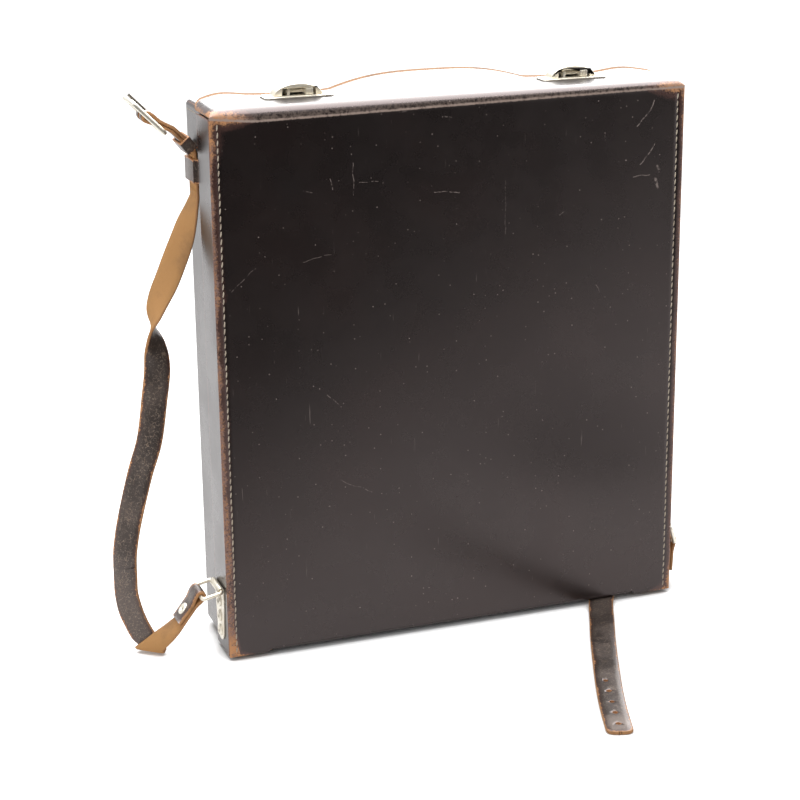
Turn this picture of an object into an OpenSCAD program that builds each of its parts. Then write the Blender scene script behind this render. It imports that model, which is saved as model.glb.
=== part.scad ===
// A flat leather camera case that stands upright. Its front drops forward on a leather hinge,
// a flap carried by the front closes over the top with two sliding locks, and a shoulder
// strap runs from rings low on the front's rims up through keepers on the sides.
// X runs to the right, Y to the back and Z up. The floor is at Z = 0. The pieces are drawn from
// the middle of the case, and placed so that the middle of the front left foot is the origin.

/* [Case] */
// Width over the rims of the front
case_w = 340; // [330:1:352]
// Depth from the front leather to the back leather
case_d = 72; // [70:1:84]
// Height of the flat front, from its lower edge to the crease of the flap
front_h = 375; // [360:1:390]
// Rise of the flap above the crease
crown_h = 6; // [5:0.5:7]
// Height of the front's lower edge above the floor
front_gap = 3; // [3:0.25:4]
// Thickness of the front, flap and hinge leather
hide_t = 2; // [1.6:0.1:2.4]
// Thickness of the leather on the box
skin_t = 1.6; // [1.2:0.1:2]
// Thickness of the board in the front
cover_board_t = 3; // [2.5:0.5:4]
// Thickness of the box's side, top and base boards
wall_t = 5; // [4:0.5:6]
// Thickness of the box's back board
back_board_t = 3; // [2.5:0.5:4]
// Thickness of the velvet linings
lining_t = 1; // [0.8:0.1:1.4]

/* [Front] */
// Depth of the side rims, from the front leather
rim_d = 33; // [30:1:34]
// Thickness of the side rims
rim_t = 2; // [1.8:0.1:2.6]
// Gap between the rims and the box
rim_gap = 0.4; // [0.3:0.1:0.8]
// Gap between the lining of the front and the mouth of the box
mouth_gap = 0.4; // [0.3:0.1:1]
// Gap between the flap and the top of the box
flap_gap = 0.4; // [0.3:0.1:0.8]
// Radius of the box's rounded upper edges at the sides
box_round = 3.5; // [3.2:0.1:4]
// Gap between the ends of the leather hinge and the feet
hinge_in = 9; // [6:1:25]
// Outer radius of the leather hinge's bend
hinge_r = 3; // [2.6:0.1:3.4]
// Length of the hinge leather sewn under the base
hinge_lap = 14; // [10:1:18]
// Height of the strip of leather that bends at the crease
crease_h = 3; // [2.5:0.5:4]

/* [Flap] */
// Distance from the front edge over which the flap rolls up to the top
roll_d = 8; // [7:0.5:10]
// Distance from the front leather to the flap's rear edge
flap_d = 58; // [54:1:60]
// Length of the flap's rounded rear corners along the width
corner_w = 33; // [28:1:38]
// Depth of the dips in the rear edge at the locks
dip_d = 9; // [6:1:10]
// Half width of the dips
dip_w = 36; // [30:1:36]
// Height of the bow in the middle of the flap
bow_h = 9; // [4:0.5:12]
// Gap between the bow and the lock plates
bow_gap = 4; // [3:1:14]
// Height of the small bows at the flap's corners
ear_h = 1.8; // [0.5:0.1:3]

/* [Locks] */
// Distance of each lock from the side of the case
lock_in = 70; // [66:1:72]
// Length of a lock plate
plate_w = 48; // [46:1:52]
// Depth of a lock plate
plate_d = 17; // [16:1:18]
// Thickness of a lock plate
plate_t = 1; // [0.8:0.1:1.4]
// Length of the arched housing
arch_w = 34; // [33:1:38]
// Height of the arched housing
arch_h = 8; // [7.6:0.1:9]
// Depth of the arched housing
arch_d = 10; // [9:0.5:11]
// Thickness of the arched housing's back wall
arch_wall = 1.2; // [0.8:0.1:1.2]
// Height of the window in the housing
window_h = 5; // [4.6:0.1:5.2]
// Length of the sliding button
button_w = 5; // [4.5:0.1:5.5]
// How far the button stands out of the window
button_out = 1.2; // [0.8:0.1:1.8]
// Radius of the bolt on the button
bolt_r = 1.1; // [1:0.05:1.2]
// Thickness of the staple on the box
staple_t = 2; // [1.8:0.1:2.1]
// Width of the staple
staple_w = 5; // [4.6:0.1:5]
// Radius of a lock rivet's head
lock_head_r = 1.7; // [1.4:0.1:2]

/* [Strap] */
// Width of the strap
strap_w = 18; // [16:0.5:20]
// Thickness of the strap
strap_t = 2.4; // [2:0.1:2.5]
// Radius of the ring wire
wire_r = 1.4; // [1.3:0.05:1.5]
// Length of a ring from its hinged bar to its outer bar
ring_l = 14; // [13:0.5:16]
// Distance between the side wires of a ring
ring_w = 27; // [26:0.5:29]
// Radius of a ring's corners
ring_bend = 2.4; // [2:0.1:2.8]
// Running clearance of the rings and the prong on their bars
bar_gap = 0.08; // [0.05:0.01:0.1]
// Outer radius of the barrel rolled in the top of a lug plate
barrel_r = 2.45; // [2.3:0.05:2.8]
// Distance of the lug plates behind the middle of the case
lug_y = -17; // [-18:0.5:-16]
// Height of the lug barrels above the floor
lug_z = 50; // [48:1:54]
// Length of a lug plate below its barrel
lug_l = 40; // [38:1:42]
// Thickness of a lug plate
lug_t = 1; // [0.8:0.1:1.3]
// Radius of a lug rivet's ring
eyelet_r = 4.2; // [3.8:0.1:4.6]
// Height of a lug rivet's ring
eyelet_h = 1.5; // [1.2:0.1:1.7]
// Height of a side keeper
keeper_h = 16; // [12:1:20]
// Distance of the keepers' lower edges below the crease
keeper_down = 48; // [43:1:53]
// Distance of the keepers behind the middle of the case
keeper_y = 13; // [12.5:0.5:14]
// Length of the buckle frame
buckle_l = 30; // [28:1:33]
// Distance between the side wires of the buckle
buckle_w = 24; // [23.5:0.5:26]
// Radius of the buckle wire
buckle_r = 1.6; // [1.4:0.1:1.8]
// Length of the fixed loop next to the buckle
sleeve_l = 9.6; // [8:0.2:10]

/* [Feet] */
// Radius of a foot
foot_r = 6; // [5:0.5:7]
// Distance of the feet from the sides of the case
foot_in = 15; // [13:1:18]
// Distance of the front feet from the front leather
foot_front = 14; // [12:1:15]
// Distance of the rear feet from the back leather
foot_back = 12; // [10:1:14]

/* [Inside] */
// Height of the shelf above the inner floor
shelf_up = 186; // [150:1:220]
// Thickness of the shelf and the partitions
shelf_t = 4; // [3:0.5:6]
// Distance of the lower partitions from the middle
divider_x = 55; // [40:1:70]

/* [Hidden] */
$fn = 48;

// Colours of the finishes
hide_col = [0.13, 0.1, 0.1];
edge_col = [0.45, 0.26, 0.14];
metal_col = [0.72, 0.69, 0.6];
board_col = [0.6, 0.48, 0.34];
velvet_col = [0.35, 0.1, 0.12];

// Planes of the front, from the outside in
front_y = -case_d / 2;
sheet_in_y = front_y + hide_t;
cover_in_y = sheet_in_y + cover_board_t;
lining_in_y = cover_in_y + lining_t;
mouth_y = lining_in_y + mouth_gap;
rim_y = front_y + rim_d;
rim_x = case_w / 2;
rim_in_x = rim_x - rim_t;
crease_z = front_gap + front_h;
flap_z = crease_z + crown_h;
flap_low_z = flap_z - hide_t;

// Planes of the box, from the outside in
skin_x = rim_in_x - rim_gap;
board_x = skin_x - skin_t;
inner_x = board_x - wall_t;
back_y = case_d / 2;
back_board_y = back_y - skin_t;
inner_y = back_board_y - back_board_t;
base_z = front_gap + hide_t;
base_board_z = base_z + skin_t;
inner_z = base_board_z + wall_t;
top_z = flap_low_z - flap_gap;
top_board_z = top_z - skin_t;
ceiling_z = top_board_z - wall_t;
shelf_z = inner_z + lining_t + shelf_up;
// The room inside the lining, which starts a little behind the mouth
room_front_y = mouth_y + 2;
room_x = inner_x - lining_t;
room_y = inner_y - lining_t;
room_top_z = ceiling_z - lining_t;

// The cover's hinge line and the flap's crease line
bend_z = front_gap + hinge_r;
foot_x = rim_x - foot_in;
foot_ys = [front_y + foot_front, back_y - foot_back];
hinge_w = 2 * (foot_x - foot_r - hinge_in);
crease_low_z = crease_z - crease_h / 2;
crease_high_z = crease_z + crease_h / 2;

// The lock parts, measured from the middle of a lock plate
lock_x = rim_x - lock_in;
bow_w = lock_x - plate_w / 2 - bow_gap;
ear_in = lock_x + plate_w / 2 + 2;
plate_z = flap_z + plate_t;
plate_corner = 2.5;
staple_x = -6;
staple_y = 1.5;
bolt_z = plate_z + 2.4;
eye_gap = 0.2;
eye_wall = 1.1;
staple_base = [14, 12, 1];
nail_x = 4.8;
nail_r = 0.9;
nail_l = 4;
button_x = 5;
button_gap = 0.3;
button_h = window_h - 0.7;
bolt_tip_x = staple_x + staple_t / 2 + 0.5;
window_x = [-11, 12.4];
slot_gap = 0.5;
// The slots reach back, because the staple leans through them when the flap lifts
slot_back = 2.4;
lock_rivet_at = [plate_w / 2 - 4, plate_d / 2 - 3.5];
lock_shank_r = 0.9;
lock_head_h = 0.6;
hole_gap = 0.05;

// The lugs, rings and keepers, on the right side of the case
barrel_x = rim_x + barrel_r;
barrel_l = ring_w - 2 * ring_bend - 0.4;
lug_round = 8;
lug_neck = 6;
lug_rivet_zs = [lug_z - 11, lug_z - 22, lug_z - 33];
shank_r = 2.6;
keeper_t = 1.8;
keeper_foot = 4.5;
keeper_z = crease_z - keeper_down;
strap_gap = 0.3;
// Middle of the strap where it runs up the box's left side
keeper_strap_x = -skin_x - strap_gap - strap_t / 2;
left_ring_tilt = 12;
right_ring_tilt = 72;
left_bar = [-barrel_x - ring_l * cos(left_ring_tilt), lug_z - ring_l * sin(left_ring_tilt)];
right_bar = [barrel_x + ring_l * cos(right_ring_tilt), lug_z - ring_l * sin(right_ring_tilt)];
wrap_gap = 0.15;
layer_gap = 0.06;
layer_off = strap_t / 2 + layer_gap;
// How a layer spreads towards a bar: distance from the bar, and share of the way out to its wrap
layer_steps = [[10.5, 0], [8.5, 0.02], [6, 0.3], [3, 0.8]];
tab_back = 24;
tab_run = 20;
tab_rivet_at = 15;
tab_shank_r = 2;

// The strap's end bends away from the keeper to the buckle's middle bar: X and Z, and angles
keeper_corner = [-rim_x, keeper_z];
sleeve_at = keeper_corner + [-4.3, 25.6];
sleeve_angle = 127;
sleeve_t = 1.4;
sleeve_gap = 0.3;
sleeve_room = 0.35;
bend_at = keeper_corner + [-14, 36.5];
end_angle = 150;
end_l = 11;
buckle_at = keeper_corner + [-30.5, 45.8];
buckle_angle = 134.5;
buckle_bend = 3;
prong_r = 1.1;
prong_w = 2.6;
prong_gap = 0.15;
prong_wall = 1.3;
prong_reach = 2.5;
prong_slot = [-6, 15.5];

// Middle line, across a bar, of a strap that comes along u, goes round the bar and returns.
// The first side lies a quarter turn to the left of u and is first_l long.
function fold_ahead(bar, angle, r, l, side) =
    let (u = [cos(angle), sin(angle)], n = side * [-sin(angle), cos(angle)])
    concat([bar + l * u + layer_off * n],
        [for (step = layer_steps) bar + step[0] * u + (layer_off + step[1] * (r - layer_off)) * n]);
function fold_round(bar, angle, r) =
    [for (i = [0 : 10]) bar + r * [cos(angle + 90 + 18 * i), sin(angle + 90 + 18 * i)]];
function backward(rows) = [for (i = [len(rows) - 1 : -1 : 0]) rows[i]];

left_angle = 232;
right_angle = 267;
wrap_r = wire_r + wrap_gap + strap_t / 2;
left_start = fold_ahead(left_bar, left_angle, wrap_r, tab_run, 1)[0];
right_start = fold_ahead(right_bar, right_angle, wrap_r, tab_run, -1)[0];

// The routes are laid out round a case of this half width, and move with its sides
laid_half_w = 170;
side_shift = rim_x - laid_half_w;
end_z = keeper_z - 6;
join_z = 60;
stretch = (end_z - join_z) / 264;

function tab_end(start, angle, d) = start + d * [cos(angle), sin(angle)];

// The left strap from its tab down to the floor, folded there and up again: its far and near edges
left_fold_far = [-226.6, 4.5, 5];
left_fold_near = [-209.6, -8.5, 4.4];
fold_r = 2;
fold_back = [0.607, 0.794, 0];
function fold_row(a) =
    let (out = fold_r * (cos(a) * fold_back + [0, 0, sin(a)]))
    concat(left_fold_far - out, left_fold_near - out);
left_join = [-231.2, 8, 141.5];
left_low_edges = [for (row = concat(
    [for (d = [0, 1.5, 3]) let (p = tab_end(left_start, left_angle, d))
        [p[0] + side_shift, lug_y + strap_w / 2, p[1], p[0] + side_shift, lug_y - strap_w / 2, p[1]]],
    [[-206.7, -6, 22.5, -202.3, -23.2, 21.7], [-214.2, -3.4, 16.8, -205.2, -19.4, 15.6],
     [-221.4, -0.3, 10.7, -208.1, -14.7, 9.7]],
    [for (a = [0 : 30 : 180]) fold_row(a)],
    [[-229.3, 7.4, 9.5, -212.3, -2.3, 11], [-233.2, 9.9, 18.5, -217.2, 1, 20.5],
     [-236.6, 12.4, 29, -221.3, 2.2, 32], [-238.3, 13.5, 43, -224.1, 2.4, 45]],
    [for (z = [join_z - 4, join_z - 2, join_z])
        let (half = strap_w / 2 * [cos(left_join[2]), sin(left_join[2])])
        [left_join[0] + half[0], left_join[1] + half[1], z,
         left_join[0] - half[0], left_join[1] - half[1], z]]))
    row - side_shift * [1, 0, 0, 1, 0, 0]];

// From there up to the keeper: X, Y and Z of its middle, and the way its width points
left_route = [for (row = [
    [left_join[0], left_join[1], join_z, left_join[2]], [left_join[0], left_join[1], 62, left_join[2]],
    [left_join[0], left_join[1], 64, left_join[2]], [-230.2, 8.2, 77, 143], [-226, 9, 97, 145],
    [-217, 10, 129, 150], [-209, 10, 153, 155], [-204, 11, 181, 160], [-201, 11, 202, 172],
    [-201.5, 11, 218, 205], [-203, 11, 231, 250], [-201, 11, 242, 290], [-197, 12, 252, 312],
    [-191, 12, 264, 325], [-185, 13, 277, 327], [-179.5, 13, 290, 318], [-175.3, 13, 302, 302],
    [-171.6, 13, 312, 282], [keeper_strap_x + side_shift, keeper_y, 320, 270],
    [keeper_strap_x + side_shift, keeper_y, 322, 270], [keeper_strap_x + side_shift, keeper_y, 324, 270]])
    [row[0] - side_shift, row[1], join_z + (row[2] - join_z) * stretch, row[3], 1]];

// The strap from the right ring under the case and out in front. Where it comes down at a slant
// its width stays level; a fifth number of 1 turns its width square to its path.
right_route = concat(
    [for (d = [0, 1.5, 3]) let (p = tab_end(right_start, right_angle, d)) [p[0], lug_y, p[1], 90, 0]],
    [for (row = [
    [174.1, -14.8, 8.5, 90, 0], [173.6, -12.8, 4.6, 90, 0], [172.2, -11.2, 2.3, 90, 0],
    [170.2, -9.6, 1.62, 90, 0], [167, -8, 1.6, 90, 0], [160, -5, 1.6, 90, 1],
    [152, -3.5, 1.6, 95, 1], [143, -4.5, 1.6, 105, 1], [134, -9, 1.6, 120, 1], [126, -16.5, 1.6, 135, 1],
    [119, -27, 1.6, 147, 1], [111, -42, 1.6, 155, 1], [98.5, -70, 1.6, 157, 1], [86, -98, 1.6, 158, 1],
    [70, -136, 1.6, 158, 1], [55, -173, 1.6, 159, 1], [45, -200, 1.6, 159, 1], [36, -227, 1.6, 160, 1]])
    [row[0] + side_shift, row[1], row[2], row[3], row[4]]]);
right_split = 5;
tail_split = 11;
route_steps = 2;
hole_first = 4;
hole_pitch = 16;
hole_count = 5;
hole_r = 1.6;

// Smooth curve through rows of numbers, with a few points between each pair
function blend4(a, b, c, d, t) =
    0.5 * (2 * b + (c - a) * t + (2 * a - 5 * b + 4 * c - d) * t * t + (3 * b - a - 3 * c + d) * t * t * t);
function smooth(rows, steps) =
    let (n = len(rows))
    concat(
        [for (i = [0 : n - 2], s = [0 : steps - 1])
            blend4(rows[max(i - 1, 0)], rows[i], rows[i + 1], rows[min(i + 2, n - 1)], s / steps)],
        [rows[n - 1]]);
function unit(v) = v / norm(v);
function head(row) = [row[0], row[1], row[2]];

// Far and near edge of a flat strap at row i of a route
function edge_pair(rows, i) =
    let (
        n = len(rows),
        along = unit(head(rows[min(i + 1, n - 1)]) - head(rows[max(i - 1, 0)])),
        flat = [cos(rows[i][3]), sin(rows[i][3]), 0],
        turned = flat - rows[i][4] * (flat * along) * along,
        side = strap_w / 2 / norm(turned - (turned * along) * along) * turned,
        p = head(rows[i]))
    [p + side, p - side];
function route_edges(route) =
    let (rows = smooth(route, route_steps))
    [for (i = [0 : len(rows) - 1]) edge_pair(rows, i)];

// Corners of a strap's section at each of its pairs of edge points
function strap_rings(edges) = [for (i = [0 : len(edges) - 1])
    let (
        a = edges[max(i - 1, 0)],
        b = edges[min(i + 1, len(edges) - 1)],
        far = edges[i][0],
        near = edges[i][1],
        face = strap_t / 2 * unit(cross(b[0] + b[1] - a[0] - a[1], far - near)))
    [near - face, far - face, far + face, near + face]];

// The strap between two of its sections
module strap_piece(rings, first, last) {
    n = last - first + 1;
    sides = [for (i = [0 : n - 2], k = [0 : 3], tri = [0, 1])
        let (a = 4 * i + k, b = 4 * i + (k + 1) % 4)
        tri == 0 ? [a, a + 4, b] : [b, a + 4, b + 4]];
    polyhedron([for (i = [first : last], p = rings[i]) p], concat(sides, [[0, 1, 2], [0, 2, 3]],
        [[4 * n - 4, 4 * n - 2, 4 * n - 3], [4 * n - 4, 4 * n - 1, 4 * n - 2]]));
}

// Outline of constant thickness along a flat path
function path_side(pts, i, d) =
    let (
        n = len(pts),
        along = unit(pts[min(i + 1, n - 1)] - pts[max(i - 1, 0)]))
    pts[i] + d * [-along[1], along[0]];
module ribbon(pts, t) {
    n = len(pts);
    polygon(concat([for (i = [0 : n - 1]) path_side(pts, i, t / 2)],
        [for (i = [n - 1 : -1 : 0]) path_side(pts, i, -t / 2)]));
}

// Turns a drawing in X and Z into a slab across Y
module across(y, w) {
    translate([0, y + w / 2, 0]) rotate([90, 0, 0]) linear_extrude(w) children();
}
// Turns a drawing in Y and Z into a slab across X
module along_x(x, w) {
    translate([x, 0, 0]) rotate([90, 0, 90]) linear_extrude(w) children();
}
module block(low, high) {
    translate(low) cube(high - low);
}
module rod(a, b, r) {
    d = b - a;
    translate(a) rotate([0, acos(d[2] / norm(d)), atan2(d[1], d[0])]) cylinder(h = norm(d), r = r);
}

// Rectangle with corners cut off
function clipped(w, d, c) = [
    [-w / 2 + c, -d / 2], [w / 2 - c, -d / 2], [w / 2, -d / 2 + c], [w / 2, d / 2 - c],
    [w / 2 - c, d / 2], [-w / 2 + c, d / 2], [-w / 2, d / 2 - c], [-w / 2, -d / 2 + c]];

// Cover: what drops forward

module front_sheet() color(hide_col) {
    block([-rim_x, front_y, bend_z], [rim_x, sheet_in_y, crease_low_z]);
    for (s = [-1, 1])
        block([min(s * rim_x, s * hinge_w / 2), front_y, front_gap],
            [max(s * rim_x, s * hinge_w / 2), sheet_in_y, bend_z]);
}

module cover_board() color(board_col)
    block([-rim_in_x, sheet_in_y, base_z + cover_board_t], [rim_in_x, cover_in_y, crease_low_z]);

module cover_lining() color(velvet_col)
    block([-inner_x, cover_in_y, inner_z - lining_t], [inner_x, lining_in_y, ceiling_z]);

module rim(s) color(hide_col) difference() {
    block([s > 0 ? rim_in_x : -rim_x, sheet_in_y, front_gap], [s > 0 ? rim_x : -rim_in_x, rim_y, crease_z]);
    for (z = lug_rivet_zs)
        rod([s * (rim_in_x - 1), lug_y, z], [s * (rim_x + 1), lug_y, z], shank_r + hole_gap);
}

// The leather hinge: a quarter bend under the front edge, and a lap under the base
module hinge_strip() color(edge_col) along_x(-hinge_w / 2, hinge_w) {
    intersection() {
        translate([front_y + hinge_r, bend_z]) difference() {
            circle(hinge_r);
            circle(hinge_r - hide_t);
        }
        translate([front_y, front_gap]) square(hinge_r);
    }
    translate([front_y + hinge_r, front_gap]) square([hinge_lap, hide_t]);
}

module crease_strip() color(edge_col)
    block([-rim_x, front_y, crease_low_z], [rim_x, sheet_in_y, crease_high_z]);

// Flap

// Share of the full height at a distance d in from an edge that rolls over r
function rise(d, r) = d >= r ? 1 : d <= 0 ? 0 : sqrt(1 - pow(1 - d / r, 2));
function ease(t) = t <= 0 ? 0 : t >= 1 ? 1 : t * t * (3 - 2 * t);
function bow(x, y) =
    let (
        grow = ease((y - front_y - roll_d) / (flap_d - roll_d)),
        a = abs(x),
        mid = a < bow_w ? pow(1 - pow(a / bow_w, 3), 1.2) : 0,
        ear_t = (a - ear_in) / (rim_x - ear_in),
        ear = ear_t > 0 ? pow(sin(180 * ear_t), 2) : 0)
    grow * (bow_h * mid + ear_h * ear);
// Rear edge of the flap at x
function flap_edge(x) =
    let (
        a = abs(x),
        side = rim_x - corner_w,
        reach = flap_d - rim_d,
        dip = abs(a - lock_x) < dip_w ? dip_d * pow(cos(90 * (a - lock_x) / dip_w), 2) : 0)
    a > side ? rim_y + reach * sqrt(max(0, 1 - pow((a - side) / corner_w, 2))) : rim_y + reach - dip;

roll_steps = 4;
flat_steps_x = 54;
flat_steps_y = 8;
roll_list = [for (i = [0 : roll_steps - 1]) roll_d * (1 - cos(90 * i / roll_steps))];
flap_xs = concat(
    [for (d = roll_list) -rim_x + d],
    [for (i = [0 : flat_steps_x]) (rim_x - roll_d) * (2 * i / flat_steps_x - 1)],
    [for (i = [roll_steps - 1 : -1 : 0]) rim_x - roll_list[i]]);
flap_rows = roll_steps + flat_steps_y + 1;
// Distance back of row j of the flap's grid at x
function flap_y(j, x) =
    j < roll_steps ? front_y + roll_list[j]
    : front_y + roll_d + (flap_edge(x) - front_y - roll_d) * (j - roll_steps) / flat_steps_y;
function flap_roll(x, y) = rise(y - front_y, roll_d) * rise(rim_x - abs(x), roll_d);
function flap_outer(x, y) = [x, y, crease_high_z + (flap_z - crease_high_z) * flap_roll(x, y) + bow(x, y)];
function flap_inner(x, y) =
    let (
        dx = rim_x - abs(x),
        dy = y - front_y,
        xi = x - sign(x) * hide_t * max(0, 1 - dx / roll_d),
        yi = y + hide_t * max(0, 1 - dy / roll_d))
    [xi, yi, crease_high_z + (flap_low_z - crease_high_z) * flap_roll(x, y) + bow(x, y)];

module flap_shell() {
    nx = len(flap_xs);
    ny = flap_rows;
    points = concat([for (j = [0 : ny - 1], x = flap_xs) flap_outer(x, flap_y(j, x))],
        [for (j = [0 : ny - 1], x = flap_xs) flap_inner(x, flap_y(j, x))]);
    m = nx * ny;
    top = [for (j = [0 : ny - 2], i = [0 : nx - 2], tri = [0, 1])
        let (a = j * nx + i, b = a + 1, c = a + nx, d = c + 1)
        2 * i < nx - 1 ? (tri == 0 ? [a, c, d] : [a, d, b]) : (tri == 0 ? [a, c, b] : [b, c, d])];
    low = [for (f = top) [f[0] + m, f[2] + m, f[1] + m]];
    ring = concat(
        [for (i = [0 : nx - 1]) i],
        [for (j = [1 : ny - 1]) j * nx + nx - 1],
        [for (i = [nx - 2 : -1 : 0]) (ny - 1) * nx + i],
        [for (j = [ny - 2 : -1 : 1]) j * nx]);
    k = len(ring);
    wall = [for (i = [0 : k - 1], tri = [0, 1])
        let (a = ring[i], b = ring[(i + 1) % k])
        tri == 0 ? [a, b, b + m] : [a, b + m, a + m]];
    polyhedron(points, concat(top, low, wall));
}

module flap() color(hide_col) difference() {
    flap_shell();
    for (s = [-1, 1]) translate([s * lock_x, 0, 0]) {
        staple_slot(crease_z, plate_z);
        for (u = [-1, 1], v = [-1, 1])
            translate([u * lock_rivet_at[0], v * lock_rivet_at[1], crease_z])
                cylinder(h = 2 * crown_h, r = lock_shank_r + 2 * hole_gap, $fn = 20);
    }
}

// Locks, drawn round the middle of a plate

module staple_slot(low, high)
    block([staple_x - staple_t / 2 - slot_gap, staple_y - staple_w / 2 - slot_gap, low],
        [staple_x + staple_t / 2 + slot_gap, staple_y + staple_w / 2 + slot_back, high + 1]);

module lock_plate() color(metal_col) difference() {
    translate([0, 0, flap_z]) linear_extrude(plate_t) polygon(clipped(plate_w, plate_d, plate_corner));
    staple_slot(flap_z - 1, plate_z);
    for (u = [-1, 1], v = [-1, 1])
        translate([u * lock_rivet_at[0], v * lock_rivet_at[1], flap_z - 1])
            cylinder(h = plate_t + 2, r = lock_shank_r + hole_gap);
}

arch_y = -arch_d / 2 + staple_y;
module lock_housing() color(metal_col) difference() {
    across(arch_y + arch_d / 2, arch_d)
        translate([0, plate_z]) intersection() {
            polygon([for (a = [0 : 7.5 : 180]) [arch_w / 2 * cos(a), arch_h * sin(a)]]);
            translate([-arch_w / 2, 0]) square([arch_w, arch_h]);
        }
    block([window_x[0], arch_y - 1, plate_z - 1],
        [window_x[1], arch_y + arch_d - arch_wall, plate_z + window_h]);
}

module lock_button() color(metal_col) {
    low = plate_z + button_gap;
    difference() {
        block([button_x, arch_y - button_out, low],
            [button_x + button_w, arch_y + arch_d - arch_wall - button_gap, low + button_h]);
        for (i = [1 : 3])
            block([button_x + i * button_w / 4 - 0.25, arch_y - button_out - 1, low - 1],
                [button_x + i * button_w / 4 + 0.25, arch_y - button_out + 0.4, low + button_h + 1]);
    }
    rod([button_x + 1, staple_y, bolt_z], [bolt_tip_x, staple_y, bolt_z], bolt_r);
}

module lock_rivets() color(metal_col)
    for (s = [-1, 1], u = [-1, 1], v = [-1, 1])
        translate([s * lock_x + u * lock_rivet_at[0], v * lock_rivet_at[1], 0]) {
            translate([0, 0, flap_low_z]) cylinder(h = hide_t + plate_t, r = lock_shank_r);
            translate([0, 0, plate_z]) cylinder(h = lock_head_h, r1 = lock_head_r, r2 = 0.7 * lock_head_r);
        }

module nail_places()
    for (u = [-1, 1]) translate([staple_x + u * nail_x, staple_y, 0]) children();

module staple() color(metal_col) difference() {
    union() {
        block([staple_x - staple_base[0] / 2, staple_y - staple_base[1] / 2, top_z - staple_base[2]],
            [staple_x + staple_base[0] / 2, staple_y + staple_base[1] / 2, top_z]);
        block([staple_x - staple_t / 2, staple_y - staple_w / 2, top_z - staple_base[2]],
            [staple_x + staple_t / 2, staple_y + staple_w / 2, bolt_z + bolt_r + eye_wall]);
        nail_places() translate([0, 0, top_z - staple_base[2] - nail_l])
            cylinder(h = nail_l, r = nail_r, $fn = 24);
    }
    rod([staple_x - staple_t, staple_y, bolt_z], [staple_x + staple_t, staple_y, bolt_z], bolt_r + eye_gap);
}

// Box: what stays standing

module base_board() color(board_col) difference() {
    block([-board_x, mouth_y, base_board_z], [board_x, back_board_y, inner_z]);
    foot_places() translate([0, 0, base_z - 1])
        cylinder(h = foot_pin + 2, r = foot_pin_r + hole_gap, $fn = 24);
}

module top_board() color(board_col) difference() {
    block([-board_x, mouth_y, ceiling_z], [board_x, back_board_y, top_board_z]);
    for (s = [-1, 1]) translate([s * lock_x, 0, 0])
        nail_places() translate([0, 0, top_z - nail_l - 2])
            cylinder(h = nail_l + 3, r = nail_r + hole_gap, $fn = 24);
}

module side_board(s) color(board_col)
    block([s > 0 ? inner_x : -board_x, mouth_y, inner_z],
        [s > 0 ? board_x : -inner_x, back_board_y, ceiling_z]);

module back_board() color(board_col)
    block([-inner_x, inner_y, inner_z], [inner_x, back_board_y, ceiling_z]);

module base_skin() color(hide_col) difference() {
    block([-board_x, mouth_y, base_z], [board_x, back_board_y, base_board_z]);
    foot_places() translate([0, 0, base_z - 1]) cylinder(h = skin_t + 2, r = foot_pin_r + hole_gap, $fn = 24);
}

module top_skin() color(hide_col) difference() {
    block([box_round - skin_x, mouth_y, top_board_z], [skin_x - box_round, back_board_y, top_z]);
    for (s = [-1, 1]) translate([s * lock_x, 0, 0]) {
        half = staple_base / 2 + [hole_gap, hole_gap, 0];
        block([staple_x - half[0], staple_y - half[1], top_z - staple_base[2]],
            [staple_x + half[0], staple_y + half[1], top_z + 1]);
        nail_places() translate([0, 0, top_z - nail_l - 2])
            cylinder(h = nail_l + 3, r = nail_r + hole_gap, $fn = 24);
    }
}

// Outline of the box from the front, in X and Z, with its two upper corners rounded
module box_face() {
    translate([-skin_x, base_z]) square([2 * skin_x, top_z - base_z - box_round]);
    translate([box_round - skin_x, base_z]) square([2 * (skin_x - box_round), top_z - base_z]);
    for (s = [-1, 1]) translate([s * (skin_x - box_round), top_z - box_round]) circle(box_round);
}

// The side leather turns over the top board to meet the top leather
module side_skin(s) color(hide_col)
    across((mouth_y + back_board_y) / 2, back_board_y - mouth_y) difference() {
        intersection() {
            box_face();
            translate([s > 0 ? skin_x - box_round : -skin_x, base_z]) square([box_round, top_z - base_z]);
        }
        translate([-board_x, base_z]) square([2 * board_x, top_board_z - base_z]);
    }

// The back leather has soft upright edges
module back_skin() color(hide_col) intersection() {
    translate([0, 0, base_z]) linear_extrude(top_z - base_z) {
        r = skin_t;
        translate([-skin_x + r, back_board_y]) square([2 * skin_x - 2 * r, skin_t]);
        for (s = [-1, 1]) intersection() {
            translate([s * (skin_x - r), back_board_y]) circle(r);
            translate([s > 0 ? skin_x - r : -skin_x, back_board_y]) square(r);
        }
    }
    across(back_y, 4 * skin_t) box_face();
}

module box_lining() color(velvet_col) difference() {
    block([-inner_x, room_front_y, inner_z], [inner_x, inner_y, ceiling_z]);
    block([-room_x, mouth_y, inner_z + lining_t], [room_x, room_y, room_top_z]);
}

module shelf() color(velvet_col)
    block([-room_x, room_front_y, shelf_z], [room_x, room_y, shelf_z + shelf_t]);

module upper_divider() color(velvet_col)
    block([-shelf_t / 2, room_front_y, shelf_z + shelf_t], [shelf_t / 2, room_y, room_top_z]);

module lower_divider(s) color(velvet_col)
    block([s * divider_x - shelf_t / 2, room_front_y, inner_z + lining_t],
        [s * divider_x + shelf_t / 2, room_y, shelf_z]);

foot_pin = 5;
foot_pin_r = 1.4;
// The rim of a foot curves in to its sole
foot_curve = 0.45 * base_z;
module foot_places() for (s = [-1, 1], y = foot_ys) translate([s * foot_x, y, 0]) children();

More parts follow.
